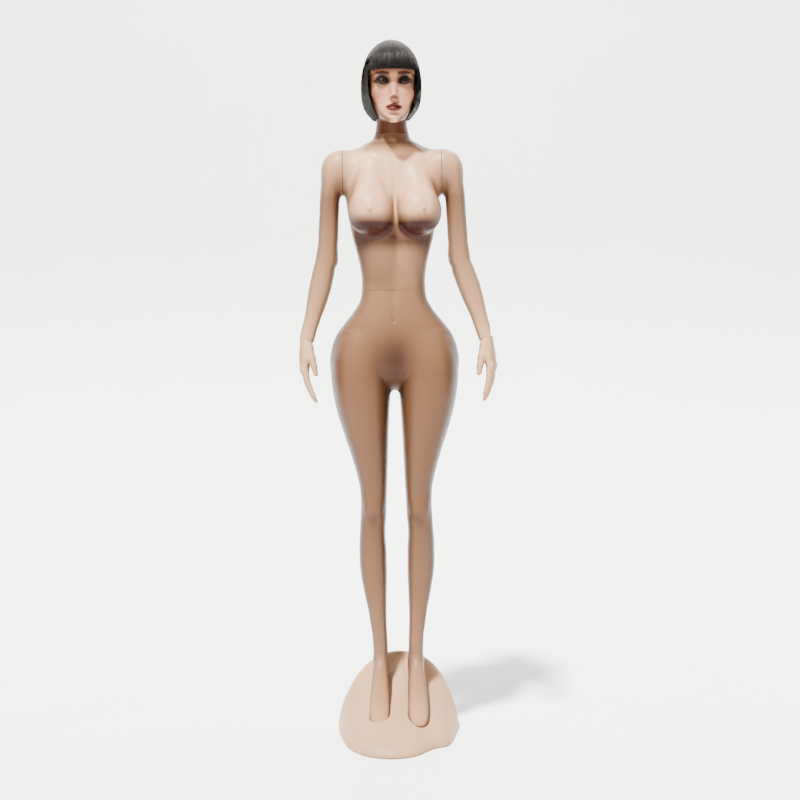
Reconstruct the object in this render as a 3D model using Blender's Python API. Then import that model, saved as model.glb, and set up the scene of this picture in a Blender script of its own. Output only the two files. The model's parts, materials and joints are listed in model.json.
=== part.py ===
"""Full-body display mannequin on a moulded base, as an assembly of separate pieces.

Metres, +Z up. The figure faces -Y, so its own left side is at +X. The origin is on the floor, under the
centre of the whole figure's box. Tables of sections are in millimetres and are scaled by MM.
"""

import math

import bmesh
import bpy
from mathutils import Matrix, Vector

MM = 0.001

# Driving dimensions
BODY_X = -0.0084  # the body's centre plane, from the centre of the figure's box
BODY_Y = 0.0178  # the body's own zero line, from the centre of the figure's box
SEAM = 0.0005  # gap between two moulded shells where they meet
FIT = 0.0003  # clearance between pieces that touch
WALL = 0.004  # least thickness of the moulded shells
WAIST_Z = 1.165  # height of the seam between the lower body and the torso
NECK_Z = 1.560  # height of the seam between the torso and the head
SHOULDER_X = 0.126  # distance of the shoulder seams from the centre plane
SHOULDER_Y = 0.012
SHOULDER_Z = 1.473
DELTOID = (0.045, 0.0498, 0.0497)  # half sizes of the egg that caps each arm
BUST_TURN = math.radians(4)  # the chest and the head look a little to the figure's left
HEAD_TURN = math.radians(4)
FLANGE = 0.003  # thickness of a swivel's flange
PLATE = 0.006  # thickness of a closing plate
INSET = 0.0020  # how far a closing plate lies inside its rim
NECK_HOLE = 0.0385  # radius of the opening in the top of the torso
HEAD_HOLE = 0.0350  # radius of the opening under the head
BASE_RIM_Z = 0.002  # the base stands this far off the floor, on its pads
BASE_CREST = Vector((0.008, 0.088, 0.195))  # highest point of the base
BASE_WALL = 0.021  # depth of the moulded skin over the hollow under the base
FOOT_X = 0.047  # distance of each foot from the centre plane
BOLT_Y = -0.022
BOLT_R = 0.005

# Sections along Z: height, centre x, half width, front y, back y.
TRUNK = (
    (908, 0, 22, -20, 80), (926, 0, 66, -46, 96), (942, 0, 128, -62, 124), (960, 0, 161, -71, 132),
    (990, 0, 165, -76, 131), (1021, 0, 161.5, -79, 123), (1053, 0, 149, -80, 107),
    (1084, 0, 126, -80, 88), (1114, 0, 102, -79, 70), (1145, 0, 85.3, -78, 57),
    (1165, 0, 82, -78, 53), (1192, 0, 81.3, -80, 52), (1222, 0, 84.6, -83, 56),
    (1253, 0, 91, -87, 64), (1299, 0, 103, -91, 78), (1345, 0, 112, -90, 88),
    (1391, 0, 118.5, -86, 94), (1422, 0, 120, -79, 95), (1455, 0, 118, -68, 90),
    (1482, 0, 110, -57, 83), (1505, 0, 92, -48, 74), (1522, 0, 76, -44, 66), (1536, 0, 62, -42, 60),
)
NECK = (
    (1524, 0, 74, -41, 62), (1536, 0, 60, -42, 60), (1548, 0, 50.5, -42.5, 57), (1560, 0, 45, -42, 53),
    (1575, 0, 41, -42, 48.5), (1592, 0, 39, -43, 46), (1615, 0, 39, -44, 46), (1640, 0, 38, -42, 48),
)
LEG = (
    (160, 46, 16.5, -12, 34), (195, 46, 19, -20, 31), (236, 46.7, 19.6, -24, 27.5),
    (264, 48, 20, -25, 26), (296, 51, 21.8, -25, 27),
    (328, 53.4, 23.9, -25.5, 31), (360, 56.3, 27.7, -27, 36), (392, 58.9, 31.3, -29, 43),
    (424, 61.2, 34.4, -31, 50), (456, 62.6, 35.8, -33, 54), (488, 63, 35.7, -36, 52),
    (519, 63.4, 34.3, -40, 46), (551, 62.2, 33.1, -46, 38), (583, 59.9, 33.4, -54, 33),
    (614, 58.6, 33.4, -58, 35), (646, 58.5, 34.7, -61, 41), (677, 60.4, 38.2, -66, 48),
    (740, 67.6, 47.9, -76, 62), (803, 76.5, 59.3, -86, 80), (850, 82.3, 67.6, -91, 98),
    (881, 85, 72.3, -93, 112), (913, 86.2, 76.4, -94, 126), (945, 86.5, 79, -93, 131),
    (985, 85, 79, -90, 126), (1025, 80, 71, -82, 106), (1055, 75, 55, -70, 84),
)
# Sections of a foot along Y, toe to heel: y, centre x, half width, sole z, top z.
FOOT = (
    (-112, 50.5, 8, 50, 60), (-105, 50.5, 17.5, 47, 71), (-94, 50.5, 24, 47.5, 90),
    (-80, 50, 26.3, 53, 114), (-60, 49, 25.5, 67, 150), (-38, 47.5, 23, 84, 190), (-15, 46.5, 21, 101, 214),
    (5, 46, 20.5, 116, 224), (22, 46, 20, 131, 226), (38, 46, 18, 146, 208), (48, 46, 11, 160, 190),
)
HEAD = (
    (1585, 0, 12, -86, -56), (1590, 0, 20, -88.5, -40), (1600, 0, 31, -90, -12), (1611, 0, 40, -90.5, 18),
    (1621, 0, 46, -90.5, 42), (1636, 0, 51, -90, 58), (1660, 0, 56, -89.5, 76), (1685, 0, 59.5, -88, 86),
    (1720, 0, 61, -90.5, 88), (1748, 0, 58, -82, 81), (1768, 0, 49, -66, 67), (1781, 0, 36, -45, 48),
    (1789, 0, 16, -18, 22),
)
HAIR = (
    (1606, 0, 67.5, -97, 95), (1616, 0, 69, -99, 98.5), (1634, 0, 72.6, -101, 104),
    (1660, 0, 76.6, -102.5, 109), (1690, 0, 76.8, -103.5, 110), (1718, 0, 73.8, -104, 107),
    (1742, 0, 67.5, -98, 99), (1765, 0, 57.5, -83, 86), (1782, 0, 45, -61.5, 65.5),
    (1792, 0, 32.5, -43, 47), (1800, 0, 12, -14, 18),
)
# Sections of an upper arm along Z, on the +X side.
UPPER_ARM = (
    (1252, 169.5, 22.8, -14, 40), (1300, 167, 26, -18, 40),
    (1360, 163.5, 25.5, -23, 40), (1410, 160.5, 25.8, -30, 47), (1450, 153.5, 27, -34, 54),
    (1480, 148, 26.5, -31, 52), (1503, 143, 20, -21, 40),
)
# Sections of a forearm from the wrist to the elbow: distance, centre, half width, front, back.
FOREARM = (
    (-14, 0, 19, -17, 17), (0, 0, 19, -17, 17), (22, 0, 19.5, -17.5, 17.5), (62, 1, 21, -20, 21),
    (105, 1.5, 25.8, -25, 26), (150, 1, 28.5, -28, 28), (185, 0, 28.5, -28.5, 28.5), (212, -1, 24, -26, 26),
)
# Sections of a palm from the wrist to the knuckles: distance, centre, half width, back, palm.
PALM = (
    (-14, 0, 19.5, -17, 17), (0, 0, 19.5, -17, 17), (14, 0, 21, -15, 16), (32, -1, 27, -14, 17),
    (55, -1, 32, -13, 16), (78, -1.5, 32.5, -11, 13), (92, -2, 26, -7, 8),
)
# Fingers: base across the palm, base along the hand, length, base radius, tip radius.
FINGERS = (
    (23.5, 78, 64, 9.0, 6.6), (8, 82, 71, 9.2, 6.7), (-8, 80, 66, 8.9, 6.4), (-23, 73, 53, 8.0, 5.8),
)
FINGER_BENDS = (math.radians(4), math.radians(14))
THUMB = ((15, 8, 20), (29, 18, 46), (32, 24, 66), (31, 27, 82))
THUMB_R = (13, 10.5, 8.8, 6.3)

# Elbow and wrist as for the +X side. roll turns the palm from backwards (0) to inwards (90).
ARMS = {
    "left": {"side": 1, "elbow": (0.169, 0.013, 1.250), "wrist": (0.2355, -0.036, 1.040), "roll": 78,
             "curl": 0.0019},
    "right": {"side": -1, "elbow": (0.171, 0.013, 1.250), "wrist": (0.2245, -0.032, 1.040), "roll": 86,
              "curl": 0.0022},
}

# Balls of one breast: x, y, z and half sizes.
BUST = (
    (0.060, -0.082, 1.356, (0.056, 0.062, 0.055)), (0.059, -0.066, 1.392, (0.050, 0.052, 0.054)),
    (0.057, -0.042, 1.436, (0.042, 0.036, 0.050)),
)

# Outline of the base on the floor, counter-clockwise from its right-hand rear, seen from above.
BASE_OUTLINE = (
    (0.080, 0.160), (0.004, 0.172), (-0.074, 0.162), (-0.133, 0.116), (-0.161, 0.045),
    (-0.155, -0.025), (-0.142, -0.085), (-0.124, -0.138), (-0.084, -0.187), (-0.028, -0.209),
    (0.020, -0.203), (0.050, -0.184), (0.070, -0.158), (0.092, -0.136), (0.124, -0.118),
    (0.140, -0.074), (0.151, -0.010), (0.158, 0.050), (0.135, 0.116),
)
PAD_PLACES = {
    "front_right": (-0.098, -0.108), "front_left": (0.098, -0.082),
    "rear_right": (-0.098, 0.096), "rear_left": (0.110, 0.096),
}

COLOURS = {  # colour, roughness, metallic
    "skin": ((0.62, 0.42, 0.31), 0.34, 0.0),
    "base": ((0.70, 0.52, 0.40), 0.40, 0.0),
    "hair": ((0.012, 0.010, 0.010), 0.40, 0.0),
    "cap": ((0.03, 0.025, 0.022), 0.8, 0.0),
    "steel": ((0.55, 0.55, 0.56), 0.35, 1.0),
    "nylon": ((0.80, 0.80, 0.77), 0.5, 0.0),
    "rubber": ((0.03, 0.03, 0.03), 0.8, 0.0),
}


# ---- Blender helpers ----------------------------------------------------------------------------

def clear_scene():
    for obj in list(bpy.data.objects):
        bpy.data.objects.remove(obj)


def material(name):
    found = bpy.data.materials.get(name)
    if found:
        return found
    colour, roughness, metallic = COLOURS[name]
    made = bpy.data.materials.new(name)
    made.use_nodes = True
    shader = made.node_tree.nodes["Principled BSDF"]
    shader.inputs["Base Color"].default_value = (*colour, 1)
    shader.inputs["Roughness"].default_value = roughness
    shader.inputs["Metallic"].default_value = metallic
    made.diffuse_color = (*colour, 1)
    return made


def object_from(bm, name, colour):
    mesh = bpy.data.meshes.new(name)
    bm.to_mesh(mesh)
    bm.free()
    mesh.materials.append(material(colour))
    mesh.shade_smooth()
    mesh.set_sharp_from_angle(angle=math.radians(40))
    obj = bpy.data.objects.new(name, mesh)
    bpy.context.scene.collection.objects.link(obj)
    return obj


def body_frame(origin, along):
    """Axes with +Z turned to point along, +X kept as near the frame's own +X as it can be."""
    w = Vector(along).normalized()
    u = (Vector((1, 0, 0)) - w * w.x).normalized()
    v = w.cross(u)
    matrix = Matrix((u, v, w)).transposed().to_4x4()
    matrix.translation = origin
    return matrix


def oval(centre, half, low, high, segments, square=2.25):
    """Points of one section: an oval, a little squarer than an ellipse."""
    power = 2 / square
    points = []
    for k in range(segments):
        c = math.cos(math.tau * k / segments)
        s = math.sin(math.tau * k / segments)
        across = centre + half * math.copysign(abs(c) ** power, c)
        deep = (low + high) / 2 + (high - low) / 2 * math.copysign(abs(s) ** power, s)
        points.append((across, deep))
    return points


def bridge(name, rings, colour):
    """A closed solid through rings of world points, capped at both ends."""
    bm = bmesh.new()
    loops = [[bm.verts.new(point) for point in ring] for ring in rings]
    count = len(loops[0])
    for low, high in zip(loops, loops[1:]):
        for k in range(count):
            n = (k + 1) % count
            bm.faces.new((low[k], low[n], high[n], high[k]))
    bm.faces.new(reversed(loops[0]))
    bm.faces.new(loops[-1])
    bmesh.ops.recalc_face_normals(bm, faces=bm.faces)
    return object_from(bm, name, colour)


def loft(name, table, colour, segments=20, place=None, square=2.25):
    """A solid through a table of sections along the local Z of place."""
    place = place or Matrix.Translation((BODY_X, BODY_Y, 0))
    rings = [
        [place @ Vector((across, deep, along)) for across, deep in oval(c, half, low, high, segments, square)]
        for along, c, half, low, high in table
    ]
    return bridge(name, rings, colour)


def scaled(table):
    return [tuple(value * MM for value in row) for row in table]


def shrunk(table, wall):
    """The same sections moved in by a wall's thickness."""
    return [(s, c, half - wall, low + wall, high - wall) for s, c, half, low, high in table]


def between(table, low, high):
    """The table's sections from one distance to another, with sections added exactly at both ends."""
    return [at(table, low)] + [row for row in table if low + 1e-6 < row[0] < high - 1e-6] + [at(table, high)]


def at(table, s):
    """The section at a distance along the table, in a straight line between its neighbours."""
    for a, b in zip(table, table[1:]):
        if a[0] - 1e-9 <= s <= b[0] + 1e-9:
            share = (s - a[0]) / (b[0] - a[0])
            return (s,) + tuple(p + (q - p) * share for p, q in zip(a[1:], b[1:]))
    raise ValueError(f"no section at {s}")


def mirrored(table):
    return [(s, -centre, half, low, high) for s, centre, half, low, high in table]


def boolean(target, tool, operation):
    """Applies one Boolean to target and removes the tool."""
    modifier = target.modifiers.new("cut", "BOOLEAN")
    modifier.operation = operation
    modifier.object = tool
    modifier.solver = "EXACT"
    applied(target)
    bpy.data.objects.remove(tool)
    return target


def joined(target, *tools):
    for tool in tools:
        boolean(target, tool, "UNION")
    return target


def cut(target, *tools):
    for tool in tools:
        boolean(target, tool, "DIFFERENCE")
    return target


def melded(name, parts, voxel, passes, triangles, colour="skin"):
    """One skin around several overlapping solids, smoothed and thinned out to a number of triangles."""
    bm = bmesh.new()
    for part in parts:
        bm.from_mesh(part.data)
        bpy.data.objects.remove(part)
    obj = object_from(bm, name, colour)
    remesh = obj.modifiers.new("skin", "REMESH")
    remesh.mode = "VOXEL"
    remesh.voxel_size = voxel
    smooth = obj.modifiers.new("smooth", "SMOOTH")
    smooth.factor = 0.5
    smooth.iterations = passes
    applied(obj)
    thin = obj.modifiers.new("thin", "DECIMATE")
    thin.ratio = triangles / (2 * len(obj.data.polygons))
    applied(obj)
    return obj


def applied(obj):
    graph = bpy.context.evaluated_depsgraph_get()
    mesh = bpy.data.meshes.new_from_object(obj.evaluated_get(graph))
    obj.modifiers.clear()
    obj.data = mesh
    mesh.shade_smooth()
    mesh.set_sharp_from_angle(angle=math.radians(40))
    return obj


def cylinder(name, place, radius, low, high, colour="steel", segments=16):
    """A round solid along the local Z of place, from low to high."""
    bm = bmesh.new()
    bmesh.ops.create_cone(bm, cap_ends=True, segments=segments, radius1=radius, radius2=radius, depth=high - low)
    bmesh.ops.translate(bm, verts=bm.verts, vec=(0, 0, (low + high) / 2))
    bmesh.ops.transform(bm, matrix=place, verts=bm.verts)
    return object_from(bm, name, colour)


def block(name, place, half_x, half_y, low, high, colour="steel"):
    bm = bmesh.new()
    bmesh.ops.create_cube(bm, size=1)
    size = Matrix.Diagonal((2 * half_x, 2 * half_y, high - low, 1))
    bmesh.ops.transform(bm, matrix=place @ Matrix.Translation((0, 0, (low + high) / 2)) @ size, verts=bm.verts)
    return object_from(bm, name, colour)


def copied(obj, name):
    made = bpy.data.objects.new(name, obj.data.copy())
    bpy.context.scene.collection.objects.link(made)
    return made


def ball(name, centre, radii, colour="skin", segments=20, rings=12):
    bm = bmesh.new()
    bmesh.ops.create_uvsphere(bm, u_segments=segments, v_segments=rings, radius=1)
    size = Matrix.Diagonal((*radii, 1))
    bmesh.ops.transform(bm, matrix=Matrix.Translation(centre) @ size, verts=bm.verts)
    return object_from(bm, name, colour)


# ---- Base ---------------------------------------------------------------------------------------

def closed_curve(points, count):
    """Points spaced along a smooth closed curve through the given ones."""
    made = []
    size = len(points)
    for k in range(count):
        place = k * size / count
        i = int(place)
        t = place - i
        p0, p1, p2, p3 = (Vector(points[(i + j) % size]) for j in (-1, 0, 1, 2))
        made.append(
            0.5 * ((2 * p1) + (p2 - p0) * t + (2 * p0 - 5 * p1 + 4 * p2 - p3) * t * t
                   + (3 * p1 - p0 - 3 * p2 + p3) * t ** 3)
        )
    return made


def base_height(share, frontness):
    """Height of the base's skin as a share of its crest: domed at the sides and back, a slope in front."""
    dome = math.sqrt(max(0.0, 1 - share ** 2.2))
    slope = 0.86 * (1 - share) ** 1.35 + 0.14 * math.sqrt(max(0.0, 1 - share ** 10))
    return dome + (slope - dome) * frontness


def base_solid(name, lower_by, inset, shares, floor_z, segments=40):
    """The base as one solid, its skin lowered by a thickness and its outline moved in."""
    crest = Vector((BASE_CREST.x, BASE_CREST.y))
    rings = []
    for share in shares:
        ring = []
        for rim in closed_curve(BASE_OUTLINE, segments):
            ray = rim - crest
            ray *= (ray.length - inset) / ray.length
            front = max(0.0, -ray.normalized().y)
            height = BASE_CREST.z * base_height(share, front ** 1.5) - lower_by
            place = crest + ray * share
            ring.append(Vector((place.x + BODY_X, place.y + BODY_Y, max(floor_z, height))))
        rings.append(ring)
    rim_ring = [Vector((p.x, p.y, floor_z - (0.01 if lower_by else 0))) for p in rings[-1]]
    return bridge(name, rings + [rim_ring], "base")


def foot_solid(name, side, grow=0.0):
    rings = []
    for y, x, half, low, high in scaled(FOOT):
        y += grow if y > -0.05 else -grow
        ring = [
            Vector((BODY_X + side * across, BODY_Y + y, deep))
            for across, deep in oval(x, half + grow, low - 1.4 * grow, high + grow, 16)
        ]
        rings.append(ring)
    return bridge(name, rings, "skin")


def build_base():
    shares = (0.08, 0.24, 0.42, 0.60, 0.76, 0.88, 0.955, 0.992)
    shell = base_solid("base_shell", 0.0, 0.0, shares, BASE_RIM_Z)
    inner = base_solid("inner", BASE_WALL, 0.007, (0.1, 0.3, 0.48, 0.64, 0.78, 0.91), BASE_RIM_Z)
    bolts = [Matrix.Translation((BODY_X + side * FOOT_X, BODY_Y + BOLT_Y, 0)) for side in (1, -1)]
    for bolt, side in zip(bolts, (1, -1)):
        cut(inner, foot_solid("cradle", side, 0.006))
        cut(inner, cylinder("boss", bolt, 0.017, 0.070, 0.3))
    for x, y in PAD_PLACES.values():
        pad = Matrix.Translation((BODY_X + x, BODY_Y + y, 0))
        cut(inner, cylinder("post", pad, 0.014, 0.0048, 0.3, segments=16))
    cut(shell, inner)
    for bolt, side in zip(bolts, (1, -1)):
        cut(shell, cylinder("spot_face", bolt, 0.0145, 0.050, 0.072, segments=20))
        cut(shell, foot_solid("recess", side, 0.0016))
        cut(shell, cylinder("hole", bolt, BOLT_R + 0.0006, 0.05, 0.15))
    for name, (x, y) in PAD_PLACES.items():
        pad = Matrix.Translation((BODY_X + x, BODY_Y + y, 0))
        cut(shell, cylinder("seat", pad, 0.012 + FIT, -0.01, 0.0048))
        cylinder("base_pad_" + name, pad, 0.012, 0.0, 0.0045, "rubber", 20)


def build_foot_fasteners():
    for label, side in (("left", 1), ("right", -1)):
        place = Matrix.Translation((BODY_X + side * FOOT_X, BODY_Y + BOLT_Y, 0))
        insert = cylinder("foot_insert_" + label, place, 0.009, 0.109, 0.135)
        cut(insert, cylinder("thread", place, BOLT_R + FIT, 0.09, 0.14))
        washer = cylinder("foot_washer_" + label, place, 0.013, 0.0693, 0.0717)
        cut(washer, cylinder("hole", place, BOLT_R + FIT, 0.06, 0.08))
        bolt = cylinder("foot_bolt_" + label, place, BOLT_R, 0.065, 0.133)
        joined(bolt, cylinder("bolt_head", place, 0.0085, 0.0615, 0.0690, segments=6))


# ---- Trunk, cut into lower body and torso ---------------------------------------------------------

def shoulder_frame(side):
    """At the shoulder's centre, local Z pointing out of the body."""
    origin = Vector((BODY_X + side * SHOULDER_X, BODY_Y + SHOULDER_Y, SHOULDER_Z))
    return Matrix.Translation(origin) @ Matrix.Rotation(side * math.pi / 2, 4, "Y")


def shoulder_solids(side):
    """The end of the collar and the ball of the shoulder, which both the torso and the arm are cut from."""
    place = shoulder_frame(side)
    return [
        cylinder("collar", place, 0.0492, -0.055, 0.004, "skin", 24),
        ball("deltoid", place @ Vector((0, 0, 0.005)), DELTOID, segments=24, rings=14),
    ]


def turned_about(x, y, angle):
    """A point of the body turned about its upright axis, towards its left."""
    return x * math.cos(angle) - y * math.sin(angle), x * math.sin(angle) + y * math.cos(angle)


def build_trunk():
    parts = [loft("trunk", scaled(TRUNK), "skin", 28), loft("neck", scaled(NECK)[:6], "skin", 24, square=2.0)]
    for side in (1, -1):
        leg = scaled(LEG) if side > 0 else mirrored(scaled(LEG))
        parts += [loft("leg", leg, "skin", 20), foot_solid("foot", side)]
        parts += shoulder_solids(side)
        parts.append(ball("chest", (BODY_X + side * 0.088, BODY_Y + 0.012, 1.452), (0.043, 0.056, 0.053)))
        for x, y, z, radii in BUST:
            across, deep = turned_about(side * x, y, BUST_TURN)
            parts.append(ball("bust", (BODY_X + across, BODY_Y + deep, z), radii))
    trunk = melded("lower_body_shell", parts, 0.0045, 14, 3600)
    torso = copied(trunk, "torso_shell")
    build_lower_body(trunk)
    build_torso(torso)


def build_lower_body(shell):
    leg = scaled(LEG)
    cut(shell, block("above", Matrix.Identity(4), 0.5, 0.5, WAIST_Z, 2.0))
    hollow = shrunk(between(scaled(TRUNK), 0.960, WAIST_Z), WALL + 0.002)
    hollow.append((WAIST_Z + 0.01,) + hollow[-1][1:])
    cut(shell, loft("hollow", hollow, "skin", 20))
    seat_low = WAIST_Z - INSET - PLATE - 0.001
    cut(shell, closing_plate("seat", waist_section(WALL), seat_low, WAIST_Z + 0.01, "skin"))
    for side in (1, -1):
        table = between(leg if side > 0 else mirrored(leg), 0.328, 1.025)[::2]
        cut(shell, loft("hollow", shrunk(table, WALL + 0.003), "skin", 10))
        place = Matrix.Translation((BODY_X + side * FOOT_X, BODY_Y + BOLT_Y, 0))
        cut(shell, cylinder("pocket", place, 0.009 + FIT, 0.05, 0.1353))
    return shell


def waist_section(wall):
    return shrunk([at(scaled(TRUNK), WAIST_Z)], wall)[0]


def closing_plate(name, section, low, high, colour):
    rows = [(z,) + section[1:] for z in (low, high)]
    return loft(name, rows, colour, 28)


def build_waist():
    """A square peg under the torso stands in a square socket in the lower body."""
    place = Matrix.Translation((BODY_X, BODY_Y - 0.013, 0))
    section = waist_section(WALL + FIT)
    top = WAIST_Z - INSET
    socket = closing_plate("waist_socket", section, top - PLATE, top, "nylon")
    joined(socket, block("collar", place, 0.025, 0.025, top - 0.046, top - PLATE / 2))
    cut(socket, block("hole", place, 0.0185, 0.0185, top - 0.06, top + 0.01))
    low = WAIST_Z + SEAM + INSET
    peg = closing_plate("waist_peg", section, low, low + PLATE, "nylon")
    joined(peg, block("stud", place, 0.018, 0.018, low - 0.044, low + PLATE / 2))


# ---- Torso --------------------------------------------------------------------------------------

def build_torso(shell):
    cut(shell, block("below", Matrix.Identity(4), 0.5, 0.5, -0.1, WAIST_Z + SEAM))
    cut(shell, block("above", Matrix.Identity(4), 0.5, 0.5, NECK_Z, 2.0))
    hollow = shrunk(between(scaled(TRUNK), WAIST_Z + SEAM, 1.500), WALL + 0.002)
    hollow.insert(0, (WAIST_Z - 0.01,) + hollow[0][1:])
    cut(shell, loft("hollow", hollow[::2] + hollow[-1:], "skin", 18))
    seat_top = WAIST_Z + SEAM + INSET + PLATE + 0.001
    cut(shell, closing_plate("seat", waist_section(WALL), WAIST_Z - 0.01, seat_top, "skin"))
    across = shoulder_frame(1)
    cut(shell, cylinder("hollow", across, 0.041, -2.2 * SHOULDER_X, 0.02, "skin", 20))
    for side in (1, -1):
        place = shoulder_frame(side)
        cut(shell, block("beyond", place, 0.3, 0.3, -SEAM / 2, 0.2))
        cut(shell, cylinder("seat", place, 0.0446, -0.012, 0.02, "skin", 24))
    cut(shell, cylinder("hollow", neck_place(), NECK_HOLE, 1.49, 1.58, "skin", 24))


def neck_place():
    return Matrix.Translation((BODY_X, BODY_Y + 0.007, 0))


def build_neck():
    """A turntable in the torso's neck, with a square stud that the head stands on."""
    place = neck_place()
    top = NECK_Z - INSET
    socket = cylinder("neck_socket", place, NECK_HOLE - FIT, top - PLATE, top, "nylon", 24)
    joined(socket, cylinder("collar", place, 0.021, top - 0.034, top - PLATE / 2, "nylon", 24))
    cut(socket, cylinder("bore", place, 0.0153, top - 0.05, top + 0.01))
    build_swivel("neck_swivel", place, top, 0.015, 0.030, 0.024, 0.009, 0.040)
    low = top + FLANGE + 2 * FIT
    plug = cylinder("neck_plug", place, HEAD_HOLE - FIT, low, low + PLATE, "nylon", 24)
    joined(plug, block("collar", place, 0.014, 0.014, low + PLATE / 2, low + 0.038, "nylon"))
    cut(plug, block("hole", place, 0.0093, 0.0093, low - 0.01, low + 0.05))


def build_swivel(name, place, face, shaft_r, shaft_length, flange_r, stud_half, stud_length):
    """A shaft that turns in a socket, its flange on the socket's face and a square stud beyond it."""
    swivel = cylinder(name, place, shaft_r, face - shaft_length, face + FLANGE)
    joined(swivel, cylinder("flange", place, flange_r, face + FIT, face + FIT + FLANGE))
    joined(swivel, block("stud", place, stud_half, stud_half, face + FLANGE / 2, face + stud_length))


def build_shoulders():
    for label, arm in ARMS.items():
        place = shoulder_frame(arm["side"])
        face = -SEAM / 2 - INSET
        socket = cylinder("shoulder_socket_" + label, place, 0.0443, face - PLATE, face, "nylon", 24)
        joined(socket, cylinder("collar", place, 0.018, face - 0.030, face - PLATE / 2, "nylon", 24))
        cut(socket, cylinder("bore", place, 0.0123, face - 0.05, face + 0.01))
        build_swivel("shoulder_swivel_" + label, place, face, 0.012, 0.028, 0.020, 0.007, 0.034)
        low = face + FLANGE + 2 * FIT
        plug = cylinder("arm_plug_" + label, place, 0.0438, low, low + PLATE, "nylon", 24)
        cut(plug, block("hole", place, 0.0073, 0.0073, low - 0.01, low + 0.05))


# ---- Arms and hands -----------------------------------------------------------------------------

def sided(arm, point):
    """A point given for the +X side, on this arm's side and in the frame."""
    return Vector((BODY_X + arm["side"] * point[0], BODY_Y + point[1], point[2]))


def wrist_frame(arm):
    """At the wrist's centre, local Z pointing up the forearm to the elbow."""
    elbow, wrist = sided(arm, arm["elbow"]), sided(arm, arm["wrist"])
    return body_frame(wrist, elbow - wrist)


def hand_axes(arm):
    """At the wrist: towards the thumb, out of the palm and down the hand."""
    down = (sided(arm, arm["wrist"]) - sided(arm, arm["elbow"])).normalized()
    forward = Vector((0, -1, 0))
    forward = (forward - down * forward.dot(down)).normalized()
    inward = forward.cross(down) * arm["side"]
    if inward.x * arm["side"] > 0:
        inward.negate()
    roll = math.radians(arm["roll"])
    thumb = inward * math.cos(roll) + forward * math.sin(roll)
    palm = inward * math.sin(roll) - forward * math.cos(roll)
    return thumb, palm, down


def hand_point(arm, point):
    """A point of the relaxed hand, in millimetres across, out of the palm and along, in the frame."""
    thumb, palm, down = hand_axes(arm)
    across, out, along = point
    out += arm["curl"] * max(0.0, along) ** 2
    return sided(arm, arm["wrist"]) + (thumb * across + palm * out + down * along) * MM


def build_arm(label, arm):
    side = arm["side"]
    upper = scaled(UPPER_ARM) if side > 0 else mirrored(scaled(UPPER_ARM))
    fore = wrist_frame(arm)
    parts = [loft("upper", upper, "skin", 18), loft("forearm", scaled(FOREARM), "skin", 18, fore, 2.0)]
    parts.append(ball("elbow", sided(arm, (0.170, 0.014, 1.254)), (0.0238, 0.0256, 0.027)))
    parts += shoulder_solids(side)
    shell = melded("arm_shell_" + label, parts, 0.0035, 16, 700)
    outward = shoulder_frame(side)
    cut(shell, block("inner_side", outward, 0.3, 0.3, -0.1, SEAM / 2))
    cut(shell, block("hand_side", fore, 0.1, 0.1, -0.1, SEAM / 2))
    inside = [size - WALL - 0.002 for size in DELTOID]
    cut(shell, ball("hollow", outward @ Vector((0, 0, 0.005)), inside, segments=16, rings=8))
    cut(shell, cylinder("seat", outward, 0.0441, -0.02, 0.012, "skin", 24))
    hollow = shrunk(between(upper, 1.280, 1.450), WALL + 0.002)
    cut(shell, loft("hollow", hollow, "skin", 12))
    cut(shell, cylinder("socket_hole", fore, 0.0135, -0.01, 0.045))


def tube(name, points, radii, colour="skin", segments=10):
    """Tapering rings through a chain of points."""
    rings = []
    size = len(points)
    for i, (point, radius) in enumerate(zip(points, radii)):
        before, after = points[max(i - 1, 0)], points[min(i + 1, size - 1)]
        frame = body_frame(point, after - before)
        rings.append([frame @ Vector((radius * a, radius * b, 0)) for a, b in oval(0, 1, -1, 1, segments, 2)])
    return bridge(name, rings, colour)


def finger_points(across, start, length, base_r, tip_r):
    """Three bones and a rounded tip, curling a little out of the palm."""
    near, far = FINGER_BENDS
    first = Vector((across * 0.9, 1, start - 16))
    knuckle = Vector((across, 1, start))
    middle = knuckle + Vector((0, math.sin(near), math.cos(near))) * length * 0.48
    bone = Vector((0, math.sin(far), math.cos(far)))
    end = middle + bone * (length * 0.52 - tip_r * 0.6)
    tip = end + bone * tip_r * 0.6
    radii = (base_r * 0.9, base_r, (base_r + tip_r) / 2, tip_r, tip_r * 0.55)
    return (first, knuckle, middle, end, tip), radii


def build_hand(label, arm):
    rings = [
        [hand_point(arm, (across, deep, along)) for across, deep in oval(c, half, low, high, 18, 2.1)]
        for along, c, half, low, high in PALM
    ]
    parts = [bridge("palm", rings, "skin")]
    for spec in FINGERS:
        points, radii = finger_points(*spec)
        parts.append(tube("finger", [hand_point(arm, p) for p in points], [r * MM for r in radii]))
    parts.append(tube("thumb", [hand_point(arm, p) for p in THUMB], [r * MM for r in THUMB_R]))
    hand = melded("hand_" + label, parts, 0.0017, 4, 720)
    fore = wrist_frame(arm)
    cut(hand, block("arm_side", fore, 0.1, 0.1, -SEAM / 2, 0.1))
    cut(hand, cylinder("plug_hole", fore, 0.0135, -0.030, 0.01))


def build_wrist(label, arm):
    """A small turntable in the forearm's end and a plug in the hand that pulls off its stud."""
    place = wrist_frame(arm) @ Matrix.Rotation(math.pi, 4, "X")  # local Z down the hand
    face = -0.0015
    socket = cylinder("wrist_socket_" + label, place, 0.0132, -0.030, face, "nylon", 16)
    cut(socket, cylinder("bore", place, 0.0053, -0.04, 0.01))
    build_swivel("wrist_swivel_" + label, place, face, 0.005, 0.024, 0.0085, 0.0032, 0.022)
    low = face + FLANGE + 2 * FIT
    plug = cylinder("hand_plug_" + label, place, 0.0132, low, 0.028, "nylon", 16)
    cut(plug, block("hole", place, 0.0035, 0.0035, low - 0.01, 0.024))


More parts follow.
